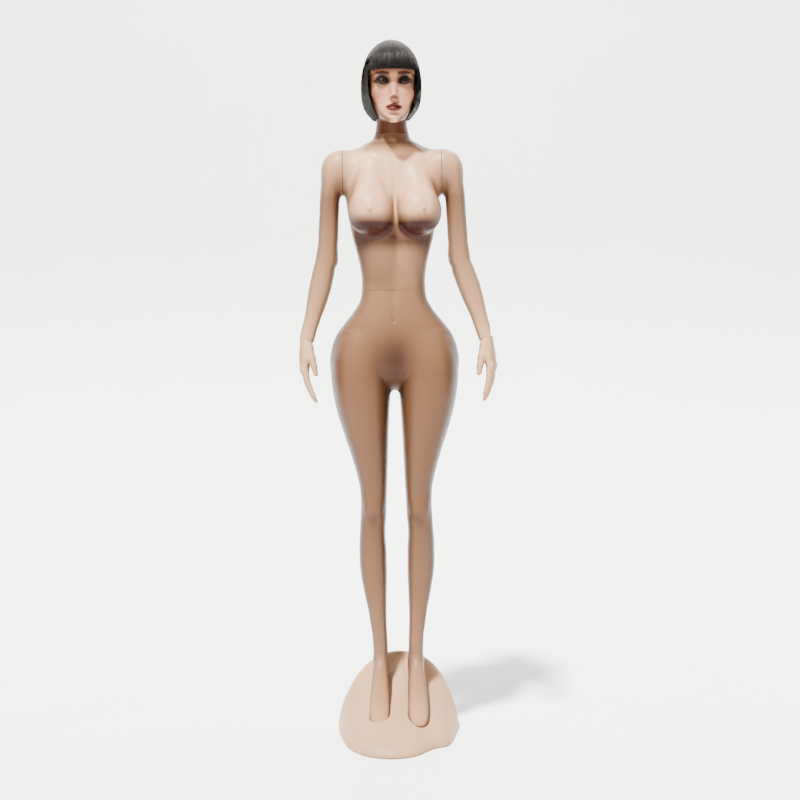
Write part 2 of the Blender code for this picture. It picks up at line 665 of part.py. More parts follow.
# ---- Head and wig -------------------------------------------------------------------------------

def build_head():
    def at_face(x, y, z):
        return BODY_X + x, BODY_Y + y, z

    nose = [(1.6365, 0, 0.007, -0.100, -0.083), (1.641, 0, 0.0115, -0.106, -0.083),
            (1.648, 0, 0.0095, -0.1095, -0.083), (1.668, 0, 0.0065, -0.097, -0.083),
            (1.688, 0, 0.006, -0.090, -0.078)]
    parts = [
        loft("skull", scaled(HEAD), "skin", 24), loft("neck", scaled(NECK), "skin", 24, square=2.0),
        loft("nose", nose, "skin", 12, square=2.0),
        ball("chin", at_face(0, -0.082, 1.595), (0.013, 0.011, 0.011)),
        ball("upper_lip", at_face(0, -0.0905, 1.6252), (0.019, 0.0075, 0.0048)),
        ball("lower_lip", at_face(0, -0.0905, 1.6138), (0.0155, 0.0085, 0.0068)),
        ball("brow", at_face(0, -0.0810, 1.6990), (0.046, 0.0115, 0.008)),
    ]
    for side in (1, -1):
        parts.append(ball("cheek", at_face(side * 0.030, -0.0625, 1.655), (0.018, 0.021, 0.018)))
        parts.append(ball("eye", at_face(side * 0.0285, -0.0785, 1.6835), (0.0145, 0.0125, 0.0095)))
    shell = melded("head_shell", parts, 0.0022, 3, 1150)
    cut(shell, block("below", Matrix.Identity(4), 0.5, 0.5, 1.4, NECK_Z + SEAM))
    inner = shrunk(between(scaled(HEAD), 1.600, 1.768), 0.0075)
    cut(shell, loft("hollow", inner, "skin", 14))
    cut(shell, cylinder("hollow", neck_place(), HEAD_HOLE, 1.55, 1.575, "skin", 24))
    cut(shell, cylinder("hollow", neck_place(), 0.026, 1.57, 1.62, "skin", 16))
    for side in (1, -1):
        cut(shell, lash_solid("slit", side, FIT))


def lash_solid(name, side, grow=0.0):
    """A curved blade of lashes, its root just inside the lid."""
    rings = []
    for k in range(9):
        share = k / 8 - 0.5
        x = BODY_X + side * 0.0285 + share * (0.027 + 2 * grow)
        y = BODY_Y - 0.0900 + share * share * 0.022
        z = 1.6885 - share * share * 0.018
        corners = ((grow, -grow), (-0.0110, 0.0022 - grow), (-0.0110, 0.0030 + grow), (grow, 0.0008 + grow))
        rings.append([Vector((x, y + dy, z + dz)) for dy, dz in corners])
    return bridge(name, rings, "hair")


def build_lashes():
    for label, side in (("left", 1), ("right", -1)):
        lash_solid("eyelashes_" + label, side)


def grown(table, by):
    return shrunk(table, -by)


def build_wig():
    head = scaled(HEAD)
    cap_table = between(head, 1.716, 1.781) + [head[-1]]
    cap = loft("wig_cap", raised(grown(cap_table, 0.0034), 0.0034), "cap", 20)
    cut(cap, loft("inside", raised(grown(cap_table, 0.0020), 0.0020), "cap", 20))
    hair = loft("wig_hair", scaled(HAIR), "hair", 28)
    widest = (0, 0.0654, -0.0955, 0.0922)
    room = raised(grown(between(head, 1.720, 1.781) + [head[-1]], 0.0042), 0.0042)
    inside = [(1.58,) + widest, (1.70,) + widest] + room
    cut(hair, loft("inside", inside, "hair", 24))
    cut(hair, face_opening())


def raised(table, by):
    """The sections, with the topmost one lifted."""
    last = table[-1]
    return table[:-1] + [(last[0] + by,) + last[1:]]


def face_opening():
    """A wedge that opens the hair over the face, under a straight fringe."""
    corners = (
        (-0.034, 1.58), (0.034, 1.58), (0.050, 1.622), (0.058, 1.668),
        (0.059, 1.712), (-0.059, 1.712), (-0.058, 1.668), (-0.050, 1.622),
    )
    rings = [[Vector((BODY_X + x, BODY_Y + y, z)) for x, z in corners] for y in (-0.20, -0.030)]
    return bridge("opening", rings, "hair")


def turn_head():
    """Turns the head, its lashes and the wig together about the neck."""
    place = neck_place()
    turn = place @ Matrix.Rotation(HEAD_TURN, 4, "Z") @ place.inverted()
    for name in ("head_shell", "eyelashes_left", "eyelashes_right", "wig_cap", "wig_hair"):
        bpy.data.objects[name].data.transform(turn)


def main():
    clear_scene()
    build_base()
    build_foot_fasteners()
    build_trunk()
    build_waist()
    build_neck()
    build_shoulders()
    for label, arm in ARMS.items():
        build_arm(label, arm)
        build_hand(label, arm)
        build_wrist(label, arm)
    build_head()
    build_lashes()
    build_wig()
    turn_head()


main()
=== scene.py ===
"""The looks of the full body mannequin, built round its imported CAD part.

Each skin is the zero surface of a smooth field. Fields are written in millimetres in the body's own axes:
x to the figure's left, y to its back and z up from the floor, with x = 0 on its centre plane.
"""

import json
import math

import bmesh
import bpy
import numpy as np
import openvdb
from mathutils import Matrix, Vector


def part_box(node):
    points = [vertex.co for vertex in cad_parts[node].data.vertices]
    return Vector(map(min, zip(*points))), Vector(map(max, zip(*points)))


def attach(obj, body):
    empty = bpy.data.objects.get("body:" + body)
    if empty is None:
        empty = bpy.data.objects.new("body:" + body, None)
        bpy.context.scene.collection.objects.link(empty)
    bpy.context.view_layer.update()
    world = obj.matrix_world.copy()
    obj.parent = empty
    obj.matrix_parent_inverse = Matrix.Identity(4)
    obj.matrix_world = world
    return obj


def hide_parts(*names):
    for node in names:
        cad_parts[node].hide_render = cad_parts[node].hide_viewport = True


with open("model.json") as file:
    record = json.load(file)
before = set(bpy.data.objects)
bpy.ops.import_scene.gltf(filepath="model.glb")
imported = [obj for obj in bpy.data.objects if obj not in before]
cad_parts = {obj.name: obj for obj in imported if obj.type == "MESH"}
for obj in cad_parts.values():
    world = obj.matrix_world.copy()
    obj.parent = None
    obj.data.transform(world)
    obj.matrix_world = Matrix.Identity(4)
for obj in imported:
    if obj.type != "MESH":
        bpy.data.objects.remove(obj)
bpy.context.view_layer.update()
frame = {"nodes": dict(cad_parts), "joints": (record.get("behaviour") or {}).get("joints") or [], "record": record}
JOINTS = {joint["name"]: joint for joint in frame["joints"]}

# Where the body's own axes lie in the row frame
NECK_PIN = Vector(JOINTS["head_turn"]["pos_m"])
OFFSET = np.array((NECK_PIN.x, NECK_PIN.y - 0.007, 0.0))
WAIST_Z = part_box("lower_body_shell")[1].z * 1000
NECK_Z = NECK_PIN.z * 1000
SHOULDER_X = 126.0
SEAM_GAP = 0.25
BUST_TURN = 4.0
SIDES = (("left", 1), ("right", -1))
COARSE = 1.0

# Sections along z: height, centre x, half width, front y, back y.
TRUNK = (
    (908, 0, 22, -20, 80), (926, 0, 66, -46, 96), (942, 0, 128, -62, 124), (960, 0, 161, -71, 132),
    (990, 0, 165, -76, 131), (1021, 0, 161.5, -79, 123), (1053, 0, 149, -80, 107),
    (1084, 0, 126, -80, 88), (1114, 0, 102, -79, 70), (1145, 0, 85.3, -78, 57),
    (1165, 0, 82, -78, 53), (1192, 0, 81.3, -80, 52), (1222, 0, 84.6, -83, 56),
    (1253, 0, 91, -87, 64), (1299, 0, 103, -91, 78), (1345, 0, 112, -90, 88),
    (1391, 0, 118.5, -86, 94), (1422, 0, 120, -79, 95), (1455, 0, 118, -68, 90),
    (1482, 0, 110, -57, 83), (1505, 0, 92, -48, 74), (1522, 0, 76, -44, 66), (1536, 0, 62, -42, 60),
)
NECK = (
    (1524, 0, 74, -41, 62), (1536, 0, 60, -42, 60), (1548, 0, 50.5, -42.5, 57), (1560, 0, 45, -42, 53),
    (1575, 0, 41, -42, 48.5), (1592, 0, 39, -43, 46), (1615, 0, 39, -44, 46), (1640, 0, 38, -42, 48),
)
LEG = (
    (160, 46, 16.5, -12, 34), (195, 46, 19, -20, 31), (236, 46.7, 19.6, -24, 27.5),
    (264, 48, 20, -25, 26), (296, 51, 21.8, -25, 27),
    (328, 53.4, 23.9, -25.5, 31), (360, 56.3, 27.7, -27, 36), (392, 58.9, 31.3, -29, 43),
    (424, 61.2, 34.4, -31, 50), (456, 62.6, 35.8, -33, 54), (488, 63, 35.7, -36, 52),
    (519, 63.4, 34.3, -40, 46), (551, 62.2, 33.1, -46, 38), (583, 59.9, 33.4, -54, 33),
    (614, 58.6, 33.4, -58, 35), (646, 58.5, 34.7, -61, 41), (677, 60.4, 38.2, -66, 48),
    (740, 67.6, 47.9, -76, 62), (803, 76.5, 59.3, -86, 80), (850, 82.3, 67.6, -91, 98),
    (881, 85, 72.3, -93, 112), (913, 86.2, 76.4, -94, 126), (945, 86.5, 79, -93, 131),
    (985, 85, 79, -90, 126), (1025, 80, 71, -82, 106), (1055, 75, 55, -70, 84),
)
# Sections of a foot along y, toe to heel: y, centre x, half width, sole z, top z.
FOOT = (
    (-112, 50.5, 8, 50, 60), (-105, 50.5, 17.5, 47, 71), (-94, 50.5, 24, 47.5, 90),
    (-80, 50, 26.3, 53, 114), (-60, 49, 25.5, 67, 150), (-38, 47.5, 23, 84, 190), (-15, 46.5, 21, 101, 214),
    (5, 46, 20.5, 116, 224), (22, 46, 20, 131, 226), (38, 46, 18, 146, 208), (48, 46, 11, 160, 190),
)
HEAD = (
    (1585, 0, 12, -86, -56), (1590, 0, 22, -88.5, -36), (1600, 0, 35, -90, -6), (1611, 0, 43.5, -90.5, 22),
    (1621, 0, 48.5, -90.5, 44), (1636, 0, 53, -90, 60), (1660, 0, 58.5, -89.5, 76), (1685, 0, 61.5, -88, 86),
    (1720, 0, 62, -90.5, 88), (1748, 0, 58, -82, 81), (1768, 0, 49, -66, 67), (1781, 0, 36, -45, 48),
    (1789, 0, 16, -18, 22),
)
HAIR = (
    (1586, 0, 35, -78, 80), (1596, 0, 43, -85, 88), (1606, 0, 52.5, -91, 94), (1617, 0, 62.5, -96, 98.5),
    (1626, 0, 68.3, -98.5, 102), (1637, 0, 72.6, -100, 105),
    (1660, 0, 76.6, -102, 109), (1690, 0, 76.8, -103.5, 110), (1718, 0, 73.8, -104, 107),
    (1742, 0, 67.5, -98, 99), (1765, 0, 56.5, -82, 85), (1781, 0, 42.5, -60, 64), (1790.5, 0, 30, -41, 45),
    (1796, 0, 17.5, -24, 27), (1799, 0, 8, -12, 14), (1800, 0, 1, -3, 4),
)
UPPER_ARM = (
    (1236, 169.5, 22, -12, 38), (1252, 169.5, 22.8, -14, 40), (1300, 167, 26, -18, 40),
    (1360, 163.5, 25.5, -23, 40), (1410, 160.5, 25.8, -30, 47), (1450, 153.5, 27, -34, 54),
    (1480, 148, 26.5, -31, 52), (1503, 143, 20, -21, 40),
)
# Sections of a forearm from the wrist to the elbow: distance, centre, half width, front, back.
FOREARM = (
    (-40, 0, 19, -17, 17), (0, 0, 19, -17, 17), (22, 0, 19.5, -17.5, 17.5), (62, 1, 21, -20, 21),
    (105, 1.5, 25.8, -25, 26), (150, 1, 28.5, -28, 28), (185, 0, 28.5, -28.5, 28.5), (212, -1, 24, -26, 26),
)
# Sections of a palm from the wrist to the knuckles: distance, centre, half width, back, palm.
PALM = (
    (-40, 0, 19.5, -17, 17), (0, 0, 19.5, -17, 17), (14, 0, 21, -15, 16), (32, -1, 27, -14, 17),
    (55, -1, 32, -13, 16), (78, -1.5, 32.5, -11, 13), (92, -2, 26, -7, 8),
)
# Fingers: base across the palm, base along the hand, length, base radius, tip radius.
FINGERS = (
    (23.5, 78, 64, 9.0, 6.6), (8, 82, 71, 9.2, 6.7), (-8, 80, 66, 8.9, 6.4), (-23, 73, 53, 8.0, 5.8),
)
THUMB = ((15, 8, 20), (29, 18, 46), (32, 24, 66), (31, 27, 82))
THUMB_R = (13, 10.5, 8.8, 6.9)
ARMS = {
    "left": {"side": 1, "elbow": (169, 13, 1250), "wrist": (235.5, -36, 1040), "roll": 78, "curl": 0.0019},
    "right": {"side": -1, "elbow": (171, 13, 1250), "wrist": (224.5, -32, 1040), "roll": 86, "curl": 0.0022},
}


# ---- Fields ---------------------------------------------------------------------------------------

def smin(a, b, k):
    """The union of two fields with a soft crease about k wide."""
    h = np.clip(0.5 + 0.5 * (b - a) / k, 0, 1)
    return b + (a - b) * h - k * h * (1 - h)


def smax(a, b, k):
    """What two fields share, with a soft edge about k wide."""
    return -smin(-a, -b, k)


def spline(table, column, s):
    """A smooth curve through one column of a table, with no overshoot between its rows."""
    xs = np.array([row[0] for row in table], float)
    ys = np.array([row[column] for row in table], float)
    steps, slopes = np.diff(xs), np.diff(ys) / np.diff(xs)
    tangents = np.zeros(len(xs))
    same = slopes[:-1] * slopes[1:] > 0
    weight_a, weight_b = 2 * steps[1:] + steps[:-1], steps[1:] + 2 * steps[:-1]
    with np.errstate(divide="ignore", invalid="ignore"):
        mean = (weight_a + weight_b) / (weight_a / slopes[:-1] + weight_b / slopes[1:])
    tangents[1:-1] = np.where(same, mean, 0)
    tangents[0], tangents[-1] = slopes[0], slopes[-1]
    s = np.clip(s, xs[0], xs[-1])
    i = np.clip(np.searchsorted(xs, s) - 1, 0, len(xs) - 2)
    t = (s - xs[i]) / steps[i]
    a, b = ys[i], ys[i + 1]
    ma, mb = tangents[i] * steps[i], tangents[i + 1] * steps[i]
    return a + t * ma + t * t * (3 * (b - a) - 2 * ma - mb) + t ** 3 * (2 * (a - b) + ma + mb)


def tower(table, across, deep, along, power=2.25, cap=12.0):
    """Distance from a stack of oval sections, closed softly at both ends."""
    half = spline(table, 2, along)
    low, high = spline(table, 3, along), spline(table, 4, along)
    u = np.abs(across - spline(table, 1, along))
    v = np.abs(deep - (low + high) / 2)
    b = (high - low) / 2
    r = ((u / half) ** power + (v / b) ** power) ** (1 / power) + 1e-6
    rho = np.sqrt(u * u + v * v) + 1e-6
    d = rho * (1 - 1 / r)
    d = smax(d, table[0][0] - along, cap)
    return smax(d, along - table[-1][0], cap)


def egg(x, y, z, centre, radii):
    """Distance from an ellipsoid."""
    u, v, w = x - centre[0], y - centre[1], z - centre[2]
    a, b, c = radii
    k0 = np.sqrt((u / a) ** 2 + (v / b) ** 2 + (w / c) ** 2) + 1e-9
    k1 = np.sqrt((u / a ** 2) ** 2 + (v / b ** 2) ** 2 + (w / c ** 2) ** 2) + 1e-9
    return k0 * (k0 - 1) / k1


def rod(x, y, z, a, b, ra, rb):
    """Distance from a round rod that tapers from one radius to another."""
    a, b = np.array(a, float), np.array(b, float)
    d = b - a
    t = np.clip(((x - a[0]) * d[0] + (y - a[1]) * d[1] + (z - a[2]) * d[2]) / (d @ d), 0, 1)
    away = np.sqrt(
        (x - a[0] - t * d[0]) ** 2 + (y - a[1] - t * d[1]) ** 2 + (z - a[2] - t * d[2]) ** 2)
    return away - (ra + (rb - ra) * t)


def local(x, y, z, axes, origin):
    """Coordinates along three axes from an origin."""
    u, v, w = x - origin[0], y - origin[1], z - origin[2]
    return [a[0] * u + a[1] * v + a[2] * w for a in axes]


# ---- Meshing --------------------------------------------------------------------------------------

def polygonised(field, low, high, step):
    """Points and quads of the field's zero surface inside a box, settled exactly onto it."""
    step *= COARSE
    low = np.array(low, float)
    count = np.ceil((np.array(high) - low) / step).astype(int) + 1
    x, y, z = (low[i] + step * np.arange(count[i]) for i in range(3))
    values = field(x[:, None, None], y[None, :, None], z[None, None, :])
    values = np.ascontiguousarray(np.broadcast_to(values, count), dtype=np.float32)
    grid = openvdb.FloatGrid(float(values.max()) + 1)
    grid.copyFromArray(values)
    points, quads = grid.convertToQuads(isovalue=0.0)
    points = points.astype(float) * step + low
    inside = np.all((points > low + step) & (points < low + (count - 2) * step), axis=1)
    for _ in range(2):
        move = settle(field, points)
        size = np.linalg.norm(move, axis=1, keepdims=True)
        move *= np.minimum(1, 0.6 * step / np.maximum(size, 1e-9))
        points[inside] += move[inside]
    return points, quads


def gradient(field, p, h=0.4):
    """The field's slope at every point, over a step of h either way."""
    x, y, z = p.T
    return np.stack([
        field(x + h, y, z) - field(x - h, y, z), field(x, y + h, z) - field(x, y - h, z),
        field(x, y, z + h) - field(x, y, z - h),
    ], 1) / (2 * h)


def settle(field, p):
    """The move that takes every point onto the zero surface."""
    g = gradient(field, p)
    f = field(*p.T)
    return -g * (f / np.maximum((g * g).sum(1), 0.05))[:, None]


def to_frame(points):
    """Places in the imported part's frame, in metres."""
    return np.asarray(points) * 0.001 + OFFSET


def new_object(name, points, faces, finish):
    """A mesh object from points in the body's millimetres."""
    mesh = bpy.data.meshes.new(name)
    mesh.from_pydata(to_frame(points).tolist(), [], np.asarray(faces).tolist())
    mesh.validate()
    mesh.shade_smooth()
    mesh.materials.append(finish)
    if finish in (SKIN, BASE_PAINT):
        layer = mesh.attributes.new("paint", "FLOAT_COLOR", "POINT")
        layer.data.foreach_set("color", np.zeros(4 * len(mesh.vertices), np.float32))
    obj = bpy.data.objects.new(name, mesh)
    bpy.context.scene.collection.objects.link(obj)
    return obj


LIP_WIDTH, LIP_DEPTH = 0.004, 0.014


def body_points(obj):
    """An object's points in the body's millimetres, and its normals."""
    vertices = obj.data.vertices
    points = (np.array([v.co for v in vertices]) - OFFSET) * 1000
    return points, np.array([v.normal for v in vertices])


def trimmed(obj, cuts):
    """Cuts an object by planes, given as point and outward normal, and gives each cut a lip.

    Each cut also states how wide its chamfer is. The lip runs in across the wall, then back into the shell.
    """
    bm = bmesh.new()
    bm.from_mesh(obj.data)
    for point, normal, chamfer in cuts:
        normal = Vector(normal).normalized()
        plane = Vector(to_frame(point)) - normal * chamfer
        geometry = bm.verts[:] + bm.edges[:] + bm.faces[:]
        made = bmesh.ops.bisect_plane(
            bm, geom=geometry, plane_co=plane, plane_no=normal, dist=1e-6, clear_outer=True)
        rim = [e for e in made["geom_cut"] if isinstance(e, bmesh.types.BMEdge) and e.is_boundary]
        if not rim:
            continue
        centre = sum((v.co for e in rim for v in e.verts), Vector()) / (2 * len(rim))
        for inward, out in ((chamfer, chamfer), (LIP_WIDTH, 0.0), (0.0, -LIP_DEPTH)):
            if inward == 0 and out == 0:
                continue
            made = bmesh.ops.extrude_edge_only(bm, edges=rim)
            verts = [v for v in made["geom"] if isinstance(v, bmesh.types.BMVert)]
            rim = [e for e in made["geom"] if isinstance(e, bmesh.types.BMEdge)]
            rim = [e for e in rim if e.is_boundary]
            for v in verts:
                v.co += (centre - v.co).normalized() * inward + normal * out
    bmesh.ops.recalc_face_normals(bm, faces=bm.faces)
    bm.to_mesh(obj.data)
    bm.free()
    obj.data.shade_smooth()
    obj.data.set_sharp_from_angle(angle=math.radians(38))


# ---- Body fields ----------------------------------------------------------------------------------

def shoulder_field(x, y, z, side):
    """Collar end, chest corner, shoulder cap and upper arm on one side."""
    x = x * side
    d = egg(x, y, z, (131, 12, 1474), (45, 49.8, 49.5))
    d = smin(d, rod(x, y, z, (70, 12, 1475), (126, 12, 1474), 48, 49), 12)
    d = smin(d, egg(x, y, z, (88, 12, 1450), (43, 56, 54)), 24)
    return smin(d, tower(UPPER_ARM, x, y, z), 22)


def forearm_field(x, y, z, arm):
    side = arm["side"]
    axes, wrist = arm_axes(arm)
    u, v, w = local(x, y, z, axes, wrist)
    d = tower(FOREARM, u, v, w, 2.0)
    elbow = np.array(arm["elbow"]) * (side, 1, 1)
    return smin(d, egg(x, y, z, elbow + (0, 2, 5), (23, 25, 27)), 16)


def arm_axes(arm):
    """Axes of a forearm, the last pointing from the wrist up to the elbow, and the wrist."""
    flip = np.array((arm["side"], 1, 1))
    elbow, wrist = np.array(arm["elbow"]) * flip, np.array(arm["wrist"]) * flip
    w = (elbow - wrist) / np.linalg.norm(elbow - wrist)
    u = np.array((1.0, 0, 0)) - w * w[0]
    u /= np.linalg.norm(u)
    return (u, np.cross(w, u), w), wrist


def bust_field(x, y, z):
    """Both breasts, round below and sloping to the collar above."""
    a = np.abs(x)
    d = egg(a, y, z, (60, -82, 1356), (56, 62, 54))
    d = smin(d, rod(a, y, z, (60, -72, 1378), (56, -22, 1474), 50, 34), 22)
    return smin(d, egg(a, y, z, (67, -144, 1364), (4.0, 5.0, 4.0)), 5)


def twisted(x, y, degrees):
    """Coordinates for a form turned about the body's upright axis, towards its left."""
    c, s = math.cos(math.radians(degrees)), math.sin(math.radians(degrees))
    return x * c + y * s, y * c - x * s


def torso_field(x, y, z):
    d = tower(TRUNK, x, y, z)
    d = smin(d, tower(NECK, x, y, z, 2.0), 22)
    a = np.abs(x)
    d = smin(d, rod(a, y, z, (20, 36, 1543), (104, 22, 1508), 15, 15.5), 20)
    d = smin(d, shoulder_field(x, y, z, np.where(x < 0, -1, 1)), 12)
    u, v = twisted(x, y, BUST_TURN)
    d = smin(d, bust_field(u, v, z), 14)
    d = smin(d, egg(a, y, z, (72, 74, 1415), (34, 22, 52)), 26)
    d = smax(d, -rod(u, v, z, (0, -62, 1500), (0, -106, 1300), 2.5, 3.0), 12)
    d = smax(d, -rod(x, y, z, (0, 86, 1480), (0, 60, 1150), 4, 4), 22)
    d = smax(d, -rod(x, y, z, (0, -97, 1290), (0, -84, 1120), 2.5, 2.5), 14)
    return smax(d, -egg(x, y, z, (0, -52, 1536), (9, 10, 9)), 12)


def leg_field(x, y, z):
    a = np.abs(x)
    d = tower(LEG, a, y, z)
    d = smin(d, egg(a, y, z, (60, -49, 604), (19, 14, 23)), 16)
    d = smin(d, egg(a, y, z, (64, 40, 470), (31, 19, 66)), 18)
    d = smin(d, rod(a, y, z, (48, 26, 330), (46.5, 28, 205), 8, 8.5), 14)
    return smin(d, foot_field(a, y, z), 12)


def foot_field(a, y, z):
    d = tower(FOOT, a, z, y, 2.2, 5)
    return smin(d, egg(a, y, z, (46, 28, 178), (19, 19, 26)), 8)


def lower_field(x, y, z):
    a = np.abs(x)
    d = tower(TRUNK, x, y, z)
    d = smin(d, leg_field(x, y, z), 15)
    d = smin(d, egg(a, y, z, (78, 72, 950), (74, 66, 84)), 22)
    d = smax(d, -rod(x, y, z, (0, 140, 1010), (0, 118, 905), 2, 4), 16)
    d = smax(d, -rod(x, y, z, (0, 60, 1200), (0, 84, 1060), 3, 3), 20)
    d = smax(d, -rod(x, y, z, (0, -84, 1180), (0, -84, 1100), 2.5, 2.5), 14)
    return smax(d, -egg(x, y, z, (0, -83, 1090), (4.5, 8, 6.5)), 7)


def arm_field(x, y, z, arm):
    d = shoulder_field(x, y, z, arm["side"])
    d = smin(d, tower(TRUNK[-9:], x, y, z), 12)
    return smin(d, forearm_field(x, y, z, arm), 20)


# ---- Hands ----------------------------------------------------------------------------------------

def hand_axes(arm):
    """Towards the thumb, out of the palm and down the hand."""
    down = -arm_axes(arm)[0][2]
    forward = np.array((0.0, -1, 0))
    forward = forward - down * forward.dot(down)
    forward /= np.linalg.norm(forward)
    inward = np.cross(forward, down)
    inward *= -np.sign(inward[0]) * arm["side"]
    roll = math.radians(arm["roll"])
    thumb = inward * math.cos(roll) + forward * math.sin(roll)
    palm = inward * math.sin(roll) - forward * math.cos(roll)
    return thumb, palm, down


def hand_field(x, y, z, arm):
    """A relaxed hand: palm, three-boned fingers and thumb, curling towards the palm."""
    u, v, w = local(x, y, z, hand_axes(arm), arm_axes(arm)[1])
    v = v - arm["curl"] * np.maximum(0, w) ** 2
    d = tower(PALM, u, v, w, 2.1, 6)
    d = smin(d, rod(u, v, w, (14, 8, 20), (24, 13, 48), 12, 11), 12)
    d = smin(d, rod(u, v, w, (-22, 5, 30), (-24, 4, 62), 10, 9), 10)
    for across, start, length, base_r, tip_r in FINGERS:
        d = smin(d, finger(u, v, w, across, start, length, base_r, tip_r), 2.4)
    for a, b, ra, rb in zip(THUMB, THUMB[1:], THUMB_R, THUMB_R[1:]):
        d = smin(d, rod(u, v, w, a, b, ra, rb), 4)
    for across, start, _, base_r, _ in FINGERS:
        d = smin(d, egg(u, v, w, (across * 0.97, -7, start - 2), (6, 4.5, 8)), 5)
    return d


def finger(u, v, w, across, start, length, base_r, tip_r):
    knuckle = np.array((across, 1.0, start))
    middle = knuckle + np.array((0, math.sin(0.07), math.cos(0.07))) * length * 0.48
    bone = np.array((0, math.sin(0.24), math.cos(0.24)))
    last = middle + bone * length * 0.27
    tip = middle + bone * (length * 0.52 - tip_r)
    half = (base_r + tip_r) / 2
    d = rod(u, v, w, (across * 0.9, 1, start - 20), knuckle, base_r * 0.9, base_r)
    d = np.minimum(d, rod(u, v, w, knuckle, middle, base_r, half))
    d = np.minimum(d, rod(u, v, w, middle, last, half, (half + tip_r) / 2))
    d = np.minimum(d, rod(u, v, w, last, tip, (half + tip_r) / 2, tip_r))
    return smin(d, egg(u, v, w, middle - (0, 1.5, 0), (half * 0.98, half * 0.8, 7)), 3)


# ---- Head -----------------------------------------------------------------------------------------

EYE = (28.5, -76.5, 1683.0)
HEAD_TURN = math.radians(4)


def head_field(x, y, z):
    a = np.abs(x)
    d = tower(HEAD, x, y, z, 2.35, 5)
    d = smin(d, tower(NECK, x, y, z, 2.0), 8)
    d = smin(d, egg(a, y, z, (33, -62, 1655), (19, 20, 17)), 14)
    d = smin(d, egg(x, y, z, (0, -82, 1594), (12, 11, 10)), 9)
    d = smin(d, rod(a, y, z, (8, -84, 1700), (40, -74, 1702), 5.5, 5), 9)
    d = smax(d, -egg(a, y, z, (28.5, -103, 1685), (16, 16, 10)), 8)
    d = smin(d, egg(a, y, z, EYE, (15.0, 14.6, 12.0)), 4)
    d = nose(d, a, x, y, z)
    d = lips(d, a, x, y, z)
    slit = ((a - EYE[0]) / 14.0) ** 2 + ((z - 0.09 * (a - EYE[0]) - EYE[2] + 0.4) / 4.6) ** 2
    d = smax(d, -smax((np.sqrt(slit) - 1) * 4.6, y + 80, 1), 1.0)
    d = smin(d, egg(a, y, z, (60, 3, 1673), (9, 17, 33)), 6)
    return smax(d, -egg(a, y, z, (71, 0, 1680), (4, 8, 17)), 3)


def nose(d, a, x, y, z):
    d = smin(d, rod(x, y, z, (0, -83, 1688), (0, -97, 1654), 4.4, 5.0), 9)
    d = smin(d, egg(x, y, z, (0, -101.5, 1647), (6.8, 8.5, 6.2)), 6)
    d = smin(d, egg(a, y, z, (7.6, -94.5, 1644), (4.6, 7.0, 5.0)), 3.5)
    return smax(d, -egg(a, y, z, (4.4, -100.5, 1639), (2.4, 4.0, 2.6)), 2.0)


def lips(d, a, x, y, z):
    d = smin(d, egg(x, y, z, (0, -84, 1620), (22, 9.5, 14)), 8)
    d = smin(d, egg(a, y, z, (6.0, -91.0, 1625.2), (12.5, 6.2, 4.4)), 2.5)
    d = smin(d, egg(x, y, z, (0, -90.8, 1613.8), (14.5, 8.0, 6.8)), 2.5)
    d = smax(d, -rod(x, y, z, (-18, -93.5, 1620.4), (18, -93.5, 1620.4), 1.0, 1.0), 2.0)
    d = smax(d, -rod(x, y, z, (0, -98, 1640), (0, -97.5, 1629), 2.0, 2.6), 2.5)
    return smax(d, -egg(x, y, z, (0, -97, 1603), (13, 6.5, 4.5)), 6)


def turned(points):
    """The head and all it carries look a little to the figure's left."""
    points = np.array(points, float)
    c, s = math.cos(HEAD_TURN), math.sin(HEAD_TURN)
    x, y = points[:, 0].copy(), points[:, 1] - 7
    points[:, 0], points[:, 1] = x * c - y * s, x * s + y * c + 7
    return points


# ---- Base -----------------------------------------------------------------------------------------

CREST = (8.0, 88.0, 195.0)
BASE_OUTLINE = (
    (80, 160), (4, 172), (-74, 162), (-133, 116), (-161, 45), (-155, -25), (-142, -85), (-124, -138),
    (-84, -187), (-28, -209), (20, -203), (50, -184), (70, -158), (92, -136), (124, -118), (140, -74),
    (151, -10), (158, 50), (135, 116),
)


def base_reach():
    """How far the base's outline lies from its crest in every direction."""
    points = np.array(BASE_OUTLINE, float)
    size = len(points)
    s = np.arange(0, size, 0.02)
    i = s.astype(int)
    t = (s - i)[:, None]
    p0, p1, p2, p3 = (points[(i + j) % size] for j in (-1, 0, 1, 2))
    curve = 0.5 * (2 * p1 + (p2 - p0) * t + (2 * p0 - 5 * p1 + 4 * p2 - p3) * t * t
                   + (3 * p1 - p0 - 3 * p2 + p3) * t ** 3)
    away = curve - CREST[:2]
    angle = np.arctan2(away[:, 1], away[:, 0])
    order = np.argsort(angle)
    return angle[order], np.hypot(*away[order].T)


BASE_REACH = base_reach()


def base_height(share, front):
    share = np.clip(share, 0, 1)
    dome = np.sqrt(1 - share ** 2.2)
    slope = 0.86 * (1 - share) ** 1.35 + 0.14 * np.sqrt(1 - share ** 10)
    return dome + (slope - dome) * front


def base_field(x, y, z):
    """The moulded mound, with a close recess under each foot."""
    u, v = x - CREST[0], y - CREST[1]
    rho = np.sqrt(u * u + v * v) + 1e-6
    reach = np.interp(np.arctan2(v, u), *BASE_REACH, period=math.tau)
    front = np.maximum(0, -v / rho) ** 1.5
    share = rho / reach
    top = CREST[2] * base_height(share, front)
    lumps = 1.4 * np.sin(x / 31 + 1) * np.cos(y / 27) + 0.9 * np.sin(x / 17 - y / 23)
    d = (z - top - lumps * np.clip(1.4 - 1.4 * share, 0, 1)) * 0.62
    d = smax(d, (share - 1) * reach * 0.8, 3)
    d = smax(d, 2.2 - z, 2)
    return smax(d, -(foot_field(np.abs(x), y, z) - 1.3), 1.4)


# ---- Materials ------------------------------------------------------------------------------------

